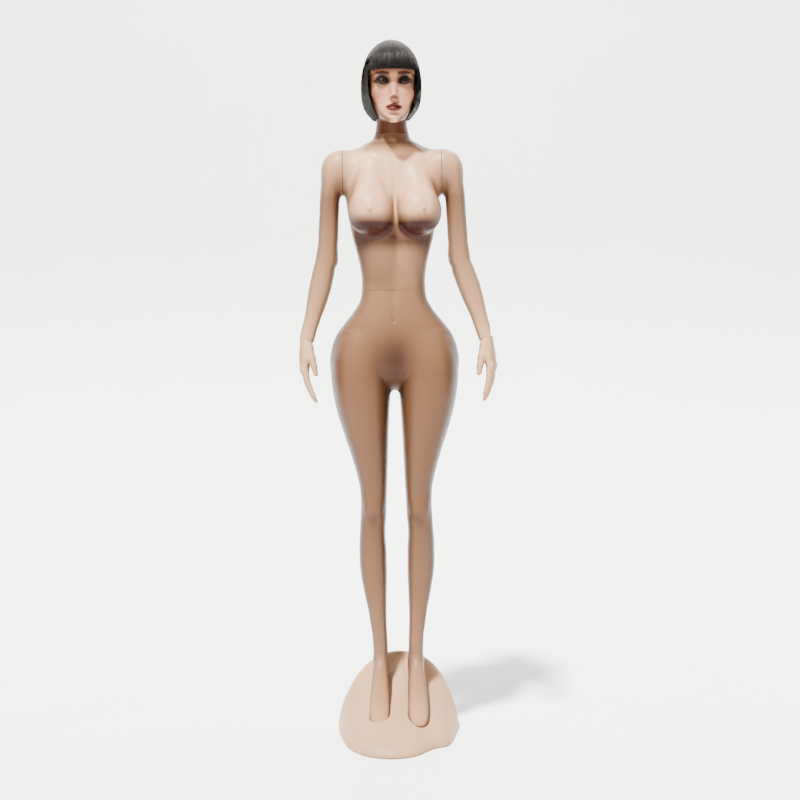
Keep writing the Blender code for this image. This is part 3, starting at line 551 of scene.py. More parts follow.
class Graph:
    """A short way to write a material's nodes."""

    def __init__(self, name, roughness=0.4, metallic=0.0):
        self.material = bpy.data.materials.new(name)
        self.material.use_nodes = True
        self.tree = self.material.node_tree
        self.shader = self.tree.nodes["Principled BSDF"]
        self.shader.inputs["Roughness"].default_value = roughness
        self.shader.inputs["Metallic"].default_value = metallic
        self.place = self.add("ShaderNodeTexCoord").outputs["Object"]

    def add(self, kind, **inputs):
        node = self.tree.nodes.new(kind)
        for key, value in inputs.items():
            socket = node.inputs[key.replace("_", " ")]
            if isinstance(value, bpy.types.NodeSocket):
                self.tree.links.new(value, socket)
            else:
                socket.default_value = value
        return node

    def link(self, output, name):
        self.tree.links.new(output, self.shader.inputs[name])

    def noise(self, scale, detail=3.0, rough=0.5):
        return self.add("ShaderNodeTexNoise", Vector=self.place, Scale=scale, Detail=detail,
                        Roughness=rough).outputs["Fac"]

    def ramp(self, value, stops):
        node = self.add("ShaderNodeValToRGB", Fac=value)
        points = node.color_ramp.elements
        points[0].position, points[0].color = stops[0][0], (*stops[0][1], 1)
        points[1].position, points[1].color = stops[-1][0], (*stops[-1][1], 1)
        for at, colour in stops[1:-1]:
            points.new(at).color = (*colour, 1)
        return node.outputs["Color"]

    def mix(self, factor, a, b, how="MIX"):
        node = self.tree.nodes.new("ShaderNodeMix")
        node.data_type = "RGBA"
        node.blend_type = how
        for socket, value in ((node.inputs[0], factor), (node.inputs[6], a), (node.inputs[7], b)):
            if isinstance(value, bpy.types.NodeSocket):
                self.tree.links.new(value, socket)
            elif isinstance(value, tuple):
                socket.default_value = (*value, 1)
            else:
                socket.default_value = value
        return node.outputs[2]

    def bump(self, height, strength):
        return self.add("ShaderNodeBump", Height=height, Strength=strength, Distance=0.001).outputs["Normal"]

    def stored(self, name, output):
        """A value kept on the mesh's points."""
        node = self.tree.nodes.new("ShaderNodeAttribute")
        node.attribute_name = name
        return node.outputs[output]

    def spread(self, value, low, high):
        return self.add("ShaderNodeMapRange", Value=value, To_Min=low, To_Max=high).outputs["Result"]


def paint_material(name, deep, mid, light, roughness=0.36):
    """Sprayed satin paint: cloudy tone, faint orange peel and a few fine scuffs."""
    g = Graph(name, roughness)
    g.shader.inputs["Specular IOR Level"].default_value = 0.13
    cloud = g.ramp(g.noise(5.0, 4.0, 0.55), ((0.30, deep), (0.5, mid), (0.72, light)))
    speck = g.ramp(g.noise(900.0, 2.0), ((0.35, (0.93, 0.92, 0.91)), (0.65, (1.0, 1.0, 1.0))))
    colour = g.mix(1.0, cloud, speck, "MULTIPLY")
    # lays the colour stored on the mesh over the paint: make-up, and painted shade
    g.link(g.mix(g.stored("paint", "Alpha"), colour, g.stored("paint", "Color")), "Base Color")
    g.link(g.spread(g.noise(60.0, 5.0, 0.6), roughness - 0.07, roughness + 0.09), "Roughness")
    g.link(g.bump(g.noise(420.0, 3.0), 0.05), "Normal")
    return g.material


def hair_material(name):
    """Black synthetic fibre: fine tone changes from strand to strand, and a long soft sheen."""
    g = Graph(name, 0.36)
    strand = g.stored("strand", "Fac")
    dark, mid, light = (0.002, 0.0016, 0.0015), (0.006, 0.0048, 0.0044), (0.024, 0.018, 0.016)
    grain = g.ramp(strand, ((0.0, dark), (0.5, mid), (1.0, light)))
    fibre = g.ramp(g.noise(700.0, 2.0), ((0.3, (0.75, 0.75, 0.75)), (0.7, (1.0, 1.0, 1.0))))
    g.link(g.mix(1.0, grain, fibre, "MULTIPLY"), "Base Color")
    g.link(g.spread(strand, 0.34, 0.52), "Roughness")
    g.shader.inputs["Specular IOR Level"].default_value = 0.18
    return g.material


def net_material(name):
    g = Graph(name, 0.85)
    weave = g.add("ShaderNodeTexVoronoi", Vector=g.place, Scale=520.0).outputs["Distance"]
    g.link(g.ramp(weave, ((0.1, (0.012, 0.010, 0.009)), (0.6, (0.06, 0.05, 0.045)))), "Base Color")
    g.link(g.bump(weave, 0.5), "Normal")
    return g.material


def nylon_material(name):
    g = Graph(name, 0.5)
    cloud = g.noise(30.0, 4.0)
    g.link(g.ramp(cloud, ((0.3, (0.66, 0.65, 0.60)), (0.7, (0.78, 0.77, 0.72)))), "Base Color")
    g.link(g.spread(g.noise(90.0), 0.42, 0.6), "Roughness")
    g.link(g.bump(g.noise(300.0), 0.06), "Normal")
    return g.material


def steel_material(name):
    g = Graph(name, 0.34, 1.0)
    grain = g.noise(160.0, 5.0, 0.7)
    g.link(g.ramp(grain, ((0.3, (0.40, 0.40, 0.41)), (0.7, (0.62, 0.62, 0.63)))), "Base Color")
    g.link(g.spread(grain, 0.26, 0.44), "Roughness")
    g.link(g.bump(grain, 0.08), "Normal")
    return g.material


def rubber_material(name):
    g = Graph(name, 0.8)
    grain = g.noise(350.0, 4.0)
    g.link(g.ramp(grain, ((0.3, (0.012, 0.012, 0.012)), (0.7, (0.035, 0.034, 0.033)))), "Base Color")
    g.link(g.bump(grain, 0.3), "Normal")
    return g.material


def eye_material(name):
    """Painted, slightly glossy eye; its colours are in the paint attribute."""
    g = Graph(name, 0.22)
    g.shader.inputs["Specular IOR Level"].default_value = 0.16
    grain = g.ramp(g.noise(900.0), ((0.3, (0.2, 0.15, 0.1)), (0.7, (1.0, 1.0, 1.0))))
    g.link(g.mix(0.12, g.stored("paint", "Color"), grain, "OVERLAY"), "Base Color")
    return g.material


SKIN = paint_material("skin_paint_finish", (0.56, 0.31, 0.165), (0.60, 0.335, 0.18), (0.64, 0.36, 0.195))
BASE_PAINT = paint_material(
    "base_paint_finish", (0.36, 0.205, 0.108), (0.39, 0.225, 0.12), (0.42, 0.245, 0.132), roughness=0.42)
HAIR_FIBRE = hair_material("hair_fibre_finish")
EYE_GLOSS = eye_material("eye_finish")


def tinted(obj, colours):
    """Stores a colour and its strength for every point of a mesh."""
    layer = obj.data.attributes.get("paint") or obj.data.attributes.new("paint", "FLOAT_COLOR", "POINT")
    layer.data.foreach_set("color", np.asarray(colours, np.float32).ravel())


def layer_over(paint, colour, strength):
    """Lays a colour over what is already painted, where strength runs from 0 to 1."""
    strength = np.clip(strength, 0, 1)[:, None]
    alpha = paint[:, 3:] + (1 - paint[:, 3:]) * strength
    mixed = paint[:, :3] * (1 - strength) + np.array(colour) * strength
    paint[:, :3] = np.where(paint[:, 3:] > 0, mixed, np.array(colour))
    paint[:, 3:] = alpha


def soft(distance, width):
    """1 inside an outline and 0 outside, over a soft edge."""
    return np.clip(0.5 - distance / width, 0, 1)


def ramped(value, *stops):
    """Straight lines through the stops, each a value and a strength."""
    return np.interp(value, *zip(*sorted(stops)))


# Painted shade: a warm dark tone laid over the skin, and a deeper one for hollows, sides, undersides and the neck.
SHADE_TONE = (0.050, 0.0195, 0.009)
DEEP_SHADE = (0.021, 0.0048, 0.0022)
# How strongly painted shade is laid on, by height: none on the upper chest, where the high key light falls, less
# on the feet, and most on the legs, belly and upper arms.
TRUNK_SHADE = (
    (60, 0.45), (130, 0.6), (220, 0.74), (400, 0.85), (620, 0.89), (950, 0.88), (1165, 0.74), (1250, 0.64),
    (1330, 0.16), (1400, 0.0),
)
ARM_SHADE = ((900, 0.15), (1030, 0.25), (1100, 0.45), (1250, 0.66), (1400, 0.80), (1500, 0.3))


def painted_shading(obj, limb=False):
    """Painted shade over the body: a tone graded by height, deeper in its hollows, on its sides and under its
    curves, where shade falls.
    """
    p, n = body_points(obj)
    tinted(obj, body_shading(p, n, limb))


def body_shading(p, n, limb):
    a, y, z = np.abs(p[:, 0]), p[:, 1], p[:, 2]
    front = np.clip(-n[:, 1] + 0.4, 0, 1)
    trunk, arm = ramped(z, *TRUNK_SHADE), ramped(z, *ARM_SHADE)
    outer = 1.0 if limb else np.clip((a - 92) / 34, 0, 1) * np.clip((z - 1330) / 60, 0, 1)
    paint = np.zeros((len(p), 4))
    # painted shade graded by height, from the trunk table and, towards the shoulders, from the arm table
    layer_over(paint, SHADE_TONE, trunk * (1 - outer) + arm * outer)
    # painted shade on surfaces that face sideways, and on those that face down
    layer_over(paint, DEEP_SHADE, 0.66 * np.clip(np.abs(n[:, 0]) - 0.50, 0, 1) / 0.50)
    layer_over(paint, DEEP_SHADE, 0.55 * np.clip(-n[:, 2] - 0.2, 0, 0.6) / 0.6)
    if limb:
        return paint
    # painted shadow on the underside of the breasts, under the cleavage and down the flanks below the bust
    bust = ramped(z, (1255, 0), (1285, 0.8), (1330, 0.9), (1362, 0)) * np.clip((-y - 40) / 25, 0, 1)
    layer_over(paint, DEEP_SHADE, 1.15 * bust * np.clip(-n[:, 2] + 0.40, 0, 0.55) / 0.55)
    layer_over(paint, DEEP_SHADE, 0.6 * np.exp(-(a / 28) ** 2 - ((z - 1300) / 27) ** 2) * front)
    flank = np.exp(-((z - 1290) / 42) ** 2) * np.clip((a - 46) / 35, 0, 1) * front
    layer_over(paint, DEEP_SHADE, 0.9 * flank)
    # painted shade on the lower belly between the hips
    layer_over(paint, DEEP_SHADE, 0.85 * np.exp(-(a / 54) ** 2 - ((z - 985) / 74) ** 2) * front)
    # painted shadow of the head and hair on the neck
    layer_over(paint, DEEP_SHADE, neck_shade(p, n))
    return paint


def neck_shade(p, n):
    """Painted shadow of the head and hair on the neck below the jaw, darkest in front."""
    fade = ramped(p[:, 2], (1510, 0), (1536, 0.85), (1594, 0.97), (1606, 0))
    return fade * np.clip(0.75 - 0.25 * n[:, 1], 0.4, 1)


# ---- Pieces ---------------------------------------------------------------------------------------

def build_trunk():
    points, faces = polygonised(torso_field, (-146, -160, WAIST_Z - 12), (146, 112, NECK_Z + 12), 2.6)
    torso = new_object("torso_skin", points, faces, SKIN)
    seam = SHOULDER_X - SEAM_GAP
    trimmed(torso, [
        ((0, 0, WAIST_Z + 0.3), (0, 0, -1), 0.0), ((0, 0, NECK_Z - 0.1), (0, 0, 1), 0.0),
        ((seam, 0, 0), (1, 0, 0), 0.0008), ((-seam, 0, 0), (-1, 0, 0), 0.0008),
    ])
    painted_shading(torso)
    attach(torso, "torso")
    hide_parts("torso_shell")
    points, faces = polygonised(lower_field, (-182, -146, 34), (182, 150, WAIST_Z + 12), 3.0)
    lower = new_object("lower_body_skin", points, faces, SKIN)
    trimmed(lower, [((0, 0, WAIST_Z + 0.1), (0, 0, 1), 0.0)])
    painted_shading(lower)
    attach(lower, "stand")
    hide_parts("lower_body_shell")


def build_arm(label, arm):
    side = arm["side"]
    low, high = (100, -62, 1020), (246, 76, 1540)
    if side < 0:
        low, high = (-high[0], low[1], low[2]), (-low[0], high[1], high[2])
    points, faces = polygonised(lambda x, y, z: arm_field(x, y, z, arm), low, high, 2.4)
    skin = new_object("arm_skin_" + label, points, faces, SKIN)
    axes, wrist = arm_axes(arm)
    seam = side * (SHOULDER_X + SEAM_GAP)
    down = tuple(-axes[2])
    trimmed(skin, [((seam, 0, 0), (-side, 0, 0), 0.0008), (tuple(wrist + axes[2] * 0.2), down, 0.0)])
    painted_shading(skin, True)
    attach(skin, "arm_" + label)
    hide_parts("arm_shell_" + label)
    build_hand(label, arm, axes, wrist)


def build_hand(label, arm, axes, wrist):
    box = [np.array(c) * 1000 - OFFSET * 1000 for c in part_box("hand_" + label)]
    points, faces = polygonised(
        lambda x, y, z: hand_field(x, y, z, arm), box[0] - 9, box[1] + (9, 9, 14), 1.25)
    hand = new_object("hand_skin_" + label, points, faces, SKIN)
    trimmed(hand, [(tuple(wrist - axes[2] * 0.1), tuple(axes[2]), 0.0)])
    painted_shading(hand, True)
    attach(hand, "hand_" + label)
    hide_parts("hand_" + label)


# Make-up colours, with colours of painted shade for the fringe's shadow, the eye sockets, the nose and under the
# lower lip
FACE_TINT = (0.46, 0.205, 0.115)
CONTOUR = (0.05, 0.014, 0.006)
BLUSH = (0.26, 0.07, 0.040)
FRINGE_SHADE = (0.045, 0.015, 0.008)
LID_SMOKE_AND_SHADE = (0.012, 0.0035, 0.0025)
UNDER_EYE = (0.040, 0.015, 0.010)
BROW = (0.018, 0.006, 0.004)
LINER = (0.006, 0.003, 0.003)
# painted shade beside the nose bridge, on the nose's sides and under its tip
NOSE_TOP, NOSE_SIDE, NOSE_UNDER = (0.05, 0.016, 0.010), (0.12, 0.045, 0.026), (0.035, 0.010, 0.006)
LIP, LIP_INNER, LIP_LINE = (0.075, 0.013, 0.008), (0.055, 0.011, 0.007), (0.02, 0.005, 0.004)
# painted shade under the lower lip
CHIN_SHADE = (0.08, 0.025, 0.014)
JAW = ((1590, 14), (1600, 29), (1611, 37), (1621, 42), (1636, 47), (1660, 52), (1700, 55))
MOUTH_Z = 1619.5


def face_paint(p, n):
    """Make-up on the head: contour, blush, smoky shadow, brows, liner and lips, with painted shade on the neck,
    under the fringe, around the eyes, on the nose and under the lower lip.
    """
    a, x, y, z = np.abs(p[:, 0]), p[:, 0], p[:, 1], p[:, 2]
    paint = np.zeros((len(p), 4))
    front = np.clip((-y - 50) / 12, 0, 1)
    layer_over(paint, FACE_TINT, 0.75 * (z > 1598))
    # painted shadow of the head and hair on the neck
    layer_over(paint, DEEP_SHADE, neck_shade(p, n) * (np.hypot(x / 47, (y - 2) / 56) < 1))
    jaw = ramped(z, *JAW)
    contour = np.where(z < 1628, np.minimum(a - jaw, 0), a - jaw)
    layer_over(paint, CONTOUR, 0.85 * np.exp(-(contour / 6.5) ** 2) * (z < 1705) * (y < -5))
    layer_over(paint, BLUSH, 0.70 * np.exp(-((a - 42) / 13) ** 2 - ((z - 1653) / 15) ** 2) * front)
    # painted shadow of the fringe across the forehead
    layer_over(paint, FRINGE_SHADE, 0.9 * np.exp(-((z - 1716) / 13) ** 2) * front)
    face_eyes(paint, a, z, front)
    face_nose(paint, a, z, n, front)
    face_lips(paint, a, x, z, np.clip((-y - 66) / 8, 0, 1))
    return paint


def face_eyes(paint, a, z, front):
    """Smoky eye make-up spread wide and up to the brow as painted shade of the fringe and brow, brows, and liner
    with a short wing.
    """
    du, dz = a - EYE[0], z - EYE[2]
    # smoky eye make-up, widened into painted shade over the eye sockets
    shadow = np.exp(-(du / 19) ** 2 - ((dz - 5.5) / 13.5) ** 2) * front
    layer_over(paint, LID_SMOKE_AND_SHADE, np.minimum(0.97, 1.5 * shadow))
    layer_over(paint, UNDER_EYE, 0.92 * np.exp(-(du / 17) ** 2 - ((dz + 7) / 6.5) ** 2) * front)
    arch = 1700.0 + 4.5 * np.cos((a - 33) / 17)
    brow = np.abs(z - arch) - 4.2 * np.clip((58 - a) / 28, 0.25, 1)
    brow = np.maximum(brow, np.maximum(11 - a, a - 53))
    layer_over(paint, BROW, 0.9 * soft(brow, 3.0) * front)
    slit = np.sqrt((du / 15.5) ** 2 + ((dz - 0.07 * du) / 6.2) ** 2) - 1
    layer_over(paint, LINER, 0.97 * soft(slit * 6 - 1.2, 2.4) * front)
    wing = rod(a, dz, a * 0, (13 + EYE[0], 1.5, 0), (21 + EYE[0], 5.5, 0), 1.8, 0.7)
    layer_over(paint, LINER, 0.92 * soft(wing, 1.6) * front)


def face_nose(paint, a, z, n, front):
    """Shade beside the bridge and under the tip."""
    bridge = np.exp(-((a - 11) / 4.0) ** 2 - ((z - 1688) / 11) ** 2) * front
    layer_over(paint, NOSE_TOP, 0.65 * bridge)
    side = np.exp(-((a - 10.0) / 4.0) ** 2 - ((z - 1660) / 16) ** 2) * front
    layer_over(paint, NOSE_SIDE, 0.45 * side)
    under = np.clip(-n[:, 2] + 0.25, 0, 0.6) / 0.6 * np.exp(-(a / 13) ** 4 - ((z - 1641) / 8) ** 2) * front
    layer_over(paint, NOSE_UNDER, 0.93 * under)


def face_lips(paint, a, x, z, near):
    """Brown lips with a dark line between them, and shade over the chin."""
    bow = 7.8 - 0.31 * a + 1.3 * np.exp(-((a - 5.5) / 3.5) ** 2)
    upper = np.maximum((z - MOUTH_Z) - bow, a - 20.5)
    lower = np.sqrt((x / 19.0) ** 2 + ((z - MOUTH_Z) / 11.0) ** 2) - 1
    mouth = np.where(z > MOUTH_Z, upper, lower * 9)
    layer_over(paint, LIP, 0.98 * soft(mouth - 0.6, 2.2) * near)
    # a darker lip colour over the middle of the lower lip
    lip_middle = np.exp(-(x / 11) ** 2 - ((z - 1614.2) / 3.2) ** 2)
    layer_over(paint, LIP_INNER, 0.75 * lip_middle * near)
    line = np.maximum(np.abs(z - MOUTH_Z) - 1.0, a - 19)
    layer_over(paint, LIP_LINE, 0.92 * soft(line, 1.6) * near)
    layer_over(paint, CHIN_SHADE, 0.65 * np.exp(-(x / 13) ** 2 - ((z - 1603.5) / 3.2) ** 2) * near)


def build_head():
    points, faces = polygonised(head_field, (-76, -122, NECK_Z - 10), (76, 98, 1797), 1.25)
    head = new_object("head_skin", points, faces, SKIN)
    trimmed(head, [((0, 0, NECK_Z + 0.2), (0, 0, -1), 0.0)])
    p, n = body_points(head)
    tinted(head, face_paint(p, n))
    head.data.vertices.foreach_set("co", to_frame(turned(p)).ravel())
    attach(head, "head")
    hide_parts("head_shell")
    for label, side in SIDES:
        build_eye(label, side)


# The white of the eye is painted almost black: painted shade of the lids and fringe over it.
SHADED_EYE_WHITE, PUPIL, RIM, CATCH_LIGHT = (0.020, 0.010, 0.007), 0.002, 0.004, 0.12
RIM_R, IRIS_R, PUPIL_R, CATCH_R = 7.6, 6.8, 3.2, 0.9


def build_eye(label, side):
    """A fine cap of the eyeball with its ground, iris, pupil and a painted catch light."""
    rings, turns = 44, 72
    t = np.linspace(0, 1, rings)[:, None] * 1.15
    k = np.arange(turns)[None, :] * math.tau / turns
    radii = (14.2, 13.7, 11.3)
    x = np.sin(t) * np.cos(k)
    z = np.sin(t) * np.sin(k)
    y = -np.cos(t) * np.ones_like(k)
    ball = np.stack([x, y, z], -1).reshape(-1, 3)
    points = ball * radii + (side * EYE[0], EYE[1], EYE[2])
    faces = [
        (i * turns + j, i * turns + (j + 1) % turns, (i + 1) * turns + (j + 1) % turns, (i + 1) * turns + j)
        for i in range(rings - 1) for j in range(turns)
    ]
    eye = new_object("eye_" + label, turned(points), faces, EYE_GLOSS)
    u, w = points[:, 0] - side * (EYE[0] - 1.0), points[:, 2] - EYE[2] - 0.4
    r = np.hypot(u, w)
    paint = np.ones((len(points), 4))
    # painted shade: the eye's white is given a near-black colour
    paint[:, :3] = SHADED_EYE_WHITE
    rays = 0.5 + 0.5 * np.sin(np.arctan2(w, u) * 23)
    iris = np.stack([0.018 + 0.016 * rays, 0.007 + 0.007 * rays, 0.004 + 0.003 * rays], 1)
    for limit, colour in ((RIM_R, RIM), (IRIS_R, iris), (PUPIL_R, PUPIL)):
        paint[:, :3] = np.where((r < limit)[:, None], colour, paint[:, :3])
    paint[np.hypot(u + 1.6, w - 1.8) < CATCH_R, :3] = CATCH_LIGHT
    tinted(eye, paint)
    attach(eye, "head")


LASHES = 46
# Upper and lower lashes: height over the eye's centre, length, way they turn.
LASH_ROWS = ((4.6, 8.0, 1), (-5.0, 3.4, -1))


def build_lashes(label, side):
    """Curved lashes along the upper lid, and half as many shorter ones below."""
    rng = np.random.default_rng(7 if side > 0 else 8)
    points, faces = [], []
    for k in range(LASHES):
        share = (k + 0.5) / LASHES * 2 - 1
        for height, length, turn in LASH_ROWS:
            if turn < 0 and k % 2:
                continue
            du = share * 14.2
            x = side * (EYE[0] + du)
            lid = EYE[2] - 0.3 + height * math.sqrt(max(0, 1 - (du / 15) ** 2)) + 0.06 * du
            y = EYE[1] - 15.2 * math.sqrt(max(0.05, 1 - (du / 18) ** 2 - ((lid - EYE[2]) / 14) ** 2)) + 0.4
            root = np.array((x, y, lid))
            fan = np.array((side * share * 0.45, -1.0, 0.25 * turn)) + rng.normal(0, 0.05, 3)
            reach = length * (1 + rng.normal(0, 0.08)) * (0.85 + 0.25 * (du > 0))
            middle = root + fan * reach * 0.55
            tip = root + fan * reach * 0.9 + np.array((0, 0, 0.42 * reach * turn))
            hair_tube(points, faces, (root, middle, tip), (0.34, 0.26, 0.06), 3)
    lash = new_object("eyelashes_" + label + "_hairs", turned(points), faces, HAIR_FIBRE)
    shade_strands(lash, np.full(len(points), 0.1))
    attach(lash, "head")
    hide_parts("eyelashes_" + label)


def hair_tube(points, faces, path, radii, sides):
    """Adds one tapering fibre through a path of points."""
    start = len(points)
    path = [np.asarray(p, float) for p in path]
    for i, (p, radius) in enumerate(zip(path, radii)):
        d = path[min(i + 1, len(path) - 1)] - path[max(i - 1, 0)]
        d /= np.linalg.norm(d) + 1e-9
        u = np.cross(d, (0.31, 0.17, 0.93))
        u /= np.linalg.norm(u) + 1e-9
        v = np.cross(d, u)
        for k in range(sides):
            turn = k * math.tau / sides
            points.append(p + (u * math.cos(turn) + v * math.sin(turn)) * radius)
    for i in range(len(path) - 1):
        for k in range(sides):
            a, b = start + i * sides + k, start + i * sides + (k + 1) % sides
            faces.append((a, b, b + sides, a + sides))


def shade_strands(obj, values):
    layer = obj.data.attributes.new("strand", "FLOAT", "POINT")
    layer.data.foreach_set("value", np.asarray(values, np.float32))


# ---- Wig ------------------------------------------------------------------------------------------

FRINGE_Z = 1712.0
FRINGE_HALF = math.radians(54)
CROWN_Z, HAIR_DROP = 1799.95, 213.9
LOCKS = 2600
LOCK_STEPS = 15


def hair_surface(angle, z, inset=0.0):
    """Point on the hair's outside at an angle from straight ahead, towards the figure's left."""
    half = spline(HAIR, 2, z) - inset
    low, high = spline(HAIR, 3, z) + inset, spline(HAIR, 4, z) - inset
    s, c = np.sin(angle), -np.cos(angle)
    power = 2 / 2.25
    x = half * np.sign(s) * np.abs(s) ** power
    y = (low + high) / 2 + (high - low) / 2 * np.sign(c) * np.abs(c) ** power
    return x, y


def hair_arc():
    """Heights from the crown to the ends, spaced evenly along the side of the head."""
    z = CROWN_Z - HAIR_DROP * np.linspace(0, 1, 600) ** 2
    half = spline(HAIR, 2, z)
    length = np.concatenate([[0], np.cumsum(np.hypot(np.diff(z), np.diff(half)))])
    return z, length / length[-1]


def swept(angle, z):
    """Hair beside the face leans a little towards it at the cheeks, and away again at the ends."""
    lean = np.exp(-((z - 1637) / 17) ** 2)
    near = np.clip((math.radians(100) - np.abs(angle)) / math.radians(50), 0, 1)
    return angle - np.sign(angle) * math.radians(5) * lean * near


def build_hair():
    z_arc, s_arc = hair_arc()
    under, faces = hair_shell(z_arc, s_arc)
    shell = new_object("wig_hair_under", turned(under), faces, HAIR_FIBRE)
    layer = np.array(under)
    shade_strands(shell, 0.25 + 0.2 * np.sin(np.arctan2(layer[:, 1], layer[:, 0]) * 190))
    strands = hair_strands(z_arc, s_arc)
    for piece in (shell, strands):
        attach(piece, "wig")
        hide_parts("wig_hair")


def end_height(angle, spread):
    """Where a strand ends: at the fringe in front, at the bob's edge elsewhere."""
    if abs(angle) < FRINGE_HALF:
        return FRINGE_Z + 3.0 * (angle / FRINGE_HALF) ** 2 + spread * 1.2
    return 1601.0 - 8.5 * math.cos(angle) + spread * 1.2


def hair_shell(z_arc, s_arc):
    """The close under layer of the hair, with fine ridges along the strands.

    Every column runs down to the fringe's height, and those beside and behind the face go on to the ends.
    """
    turns, crown_rows, fall_rows = 720, 36, 30
    columns, faces, points = [], [], []
    for j in range(turns):
        angle = (j + 0.5) / turns * math.tau - math.pi
        fringe = FRINGE_Z + 3.0 * min(1.0, (angle / FRINGE_HALF) ** 2)
        top, low = 0.02, share_of(fringe, z_arc, s_arc)
        heights = [top + (low - top) * i / crown_rows for i in range(crown_rows + 1)]
        if abs(angle) >= FRINGE_HALF:
            last = share_of(end_height(angle, 0), z_arc, s_arc)
            heights += [low + (last - low) * i / fall_rows for i in range(1, fall_rows + 1)]
        ridge = 0.5 * math.sin(j * 2.399) + 0.35 * math.sin(j * 0.731)
        columns.append((len(points), len(heights)))
        for share in heights:
            z = np.interp(share, s_arc, z_arc)
            x, y = hair_surface(swept(angle, z), z, 2.4 + ridge)
            points.append((float(x), float(y), float(z)))
    for j in range(turns):
        (a, rows), (b, others) = columns[j], columns[(j + 1) % turns]
        faces += [(a + i, a + i + 1, b + i + 1, b + i) for i in range(min(rows, others) - 1)]
    return points, faces


def share_of(z, z_arc, s_arc):
    """How far along the arc from the crown a height lies."""
    return float(np.interp(-z, -z_arc, s_arc))


def hair_strands(z_arc, s_arc):
    """Locks of straight hair lying over the under layer."""
    rng = np.random.default_rng(21)
    points, faces, shades = [], [], []
    for k in range(LOCKS):
        angle = (k + rng.uniform(-0.8, 0.8)) / LOCKS * math.tau - math.pi
        depth = rng.uniform(0.0, 2.0)
        end = share_of(end_height(angle, rng.normal()), z_arc, s_arc)
        sway, phase = rng.normal(0, 0.012), rng.uniform(0, math.tau)
        path = []
        for i in range(LOCK_STEPS):
            share = i / (LOCK_STEPS - 1)
            z = float(np.interp(0.012 + (end - 0.012) * share, s_arc, z_arc))
            turn = swept(angle, z) + sway * math.sin(share * 3 + phase) * share
            x, y = hair_surface(turn, z, depth)
            path.append((float(x), float(y), z))
        width = rng.uniform(0.45, 0.95)
        along = [i / LOCK_STEPS for i in range(LOCK_STEPS)]
        radii = [width * (0.55 + 0.45 * min(1, 4 * t)) * (1 - 0.6 * t ** 6) for t in along]
        hair_tube(points, faces, path, radii, 3)
        shades += [float(np.clip(rng.normal(0.45, 0.22), 0, 1))] * (LOCK_STEPS * 3)
    strands = new_object("wig_hair_strands", turned(points), faces, HAIR_FIBRE)
    shade_strands(strands, shades)
    return strands


def build_base():
    points, faces = polygonised(base_field, (-176, -224, -6), (176, 188, 198), 2.4)
    skin = new_object("base_skin", points, faces, BASE_PAINT)
    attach(skin, "stand")
    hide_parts("base_shell")


def finish_fittings():
    """Gives the CAD fittings that stay in view their own materials."""
    finishes = {"nylon": nylon_material("nylon_finish"), "steel": steel_material("steel_finish"),
                "pad_rubber": rubber_material("rubber_finish"), "wig_net": net_material("net_finish")}
    slots = {entry["node"]: entry["material_slot"] for entry in frame["record"]["subparts"]}
    for name, obj in frame["nodes"].items():
        finish = finishes.get(slots.get(name))
        if finish:
            obj.data.materials.clear()
            obj.data.materials.append(finish)


# ---- Stage ----------------------------------------------------------------------------------------

FLOOR_REACH = 30.0
WALL_Y, WALL_TOP, SWEEP_R = 3.5, 7.0, 1.5


def build_stage():
    """A pale floor that curves up into a wall behind the figure."""
    g = Graph("floor_finish", 0.7)
    g.link(g.ramp(g.noise(3.0, 5.0), ((0.3, (0.90, 0.90, 0.90)), (0.7, (0.93, 0.93, 0.93)))), "Base Color")
    bm = bmesh.new()
    bend_y = WALL_Y - SWEEP_R
    profile = [(-FLOOR_REACH, 0.0), (bend_y, 0.0)] + [
        (bend_y + SWEEP_R * math.sin(t), SWEEP_R - SWEEP_R * math.cos(t))
        for t in np.linspace(0.1, math.pi / 2, 12)
    ] + [(WALL_Y, WALL_TOP)]
    rows = [[bm.verts.new((x, y, z)) for y, z in profile] for x in (-FLOOR_REACH, FLOOR_REACH)]
    for i in range(len(profile) - 1):
        bm.faces.new((rows[0][i], rows[1][i], rows[1][i + 1], rows[0][i + 1]))
    mesh = bpy.data.meshes.new("floor")
    bm.to_mesh(mesh)
    bm.free()
    mesh.shade_smooth()
    mesh.materials.append(g.material)
    floor = bpy.data.objects.new("floor", mesh)
    bpy.context.scene.collection.objects.link(floor)


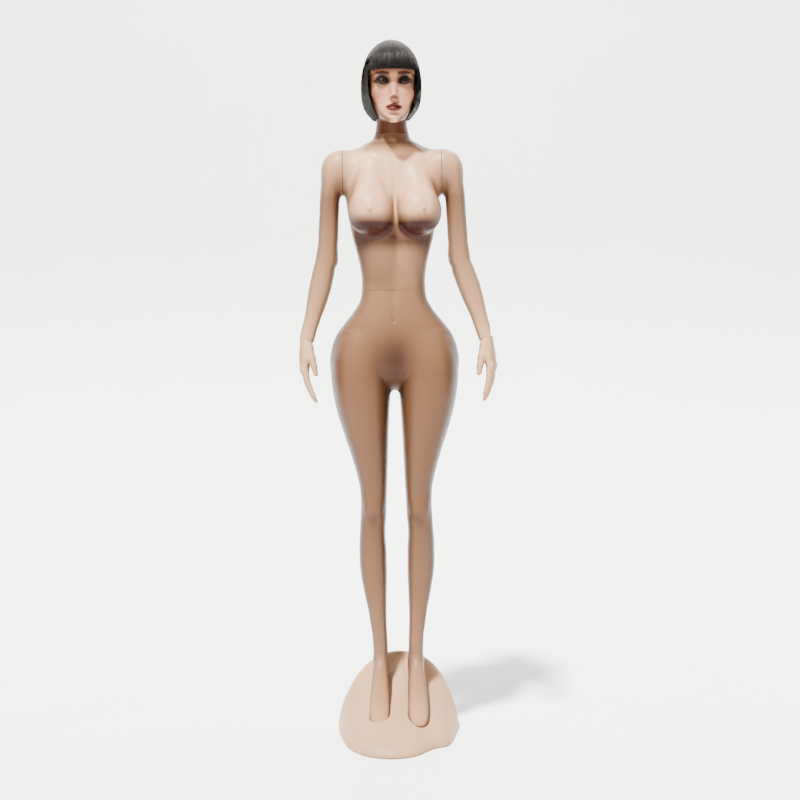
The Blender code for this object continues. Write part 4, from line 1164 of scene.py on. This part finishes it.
def area_light(name, place, target, size, power, colour=(1, 1, 1)):
    data = bpy.data.lights.new(name, "AREA")
    data.size, data.energy, data.color = size, power, colour
    light = bpy.data.objects.new(name, data)
    light.location = place
    light.rotation_euler = (Vector(target) - Vector(place)).to_track_quat("-Z", "Y").to_euler()
    bpy.context.scene.collection.objects.link(light)


WORLD = 0.10
KEY = 16.0
KEY_WAY = (0.20, 0.36, -0.91)


def build_lights():
    world = bpy.data.worlds.new("studio")
    world.use_nodes = True
    world.node_tree.nodes["Background"].inputs["Color"].default_value = (1, 1, 1, 1)
    world.node_tree.nodes["Background"].inputs["Strength"].default_value = WORLD
    bpy.context.scene.world = world
    sun = bpy.data.lights.new("key", "SUN")
    sun.energy, sun.angle, sun.color = KEY, math.radians(5), (1.0, 0.97, 0.93)
    key = bpy.data.objects.new("key", sun)
    key.rotation_euler = Vector(KEY_WAY).to_track_quat("-Z", "Y").to_euler()
    bpy.context.scene.collection.objects.link(key)
    area_light("backdrop", (0.0, 1.8, 4.5), (0, 3.4, 1.4), 3.0, 150)
    area_light("fill", (-1.9, -3.7, 1.9), (0, 0, 1.3), 0.8, 24, (1.0, 0.95, 0.90))


CAMERA_AWAY, CAMERA_Z = 3.4, 1.131
CAMERA_TILT, CAMERA_TURN, CAMERA_ROLL = -4.2, -0.2175, -0.72
LENS, SENSOR = 59.09, 36.0


def build_camera():
    """Looks at the figure from the front, a little above its chest and tilted slightly down."""
    data = bpy.data.cameras.new("camera")
    data.lens, data.sensor_width = LENS, SENSOR
    camera = bpy.data.objects.new("camera", data)
    turn = (
        Matrix.Rotation(math.radians(CAMERA_TURN), 4, "Z")
        @ Matrix.Rotation(math.radians(90 + CAMERA_TILT), 4, "X")
        @ Matrix.Rotation(math.radians(CAMERA_ROLL), 4, "Z"))
    camera.matrix_world = Matrix.Translation((OFFSET[0], OFFSET[1] - CAMERA_AWAY, CAMERA_Z)) @ turn
    bpy.context.scene.collection.objects.link(camera)
    bpy.context.scene.camera = camera


def main():
    build_base()
    build_trunk()
    for label, arm in ARMS.items():
        build_arm(label, arm)
    build_head()
    for label, side in SIDES:
        build_lashes(label, side)
    build_hair()
    finish_fittings()
    build_stage()
    build_lights()
    build_camera()


main()
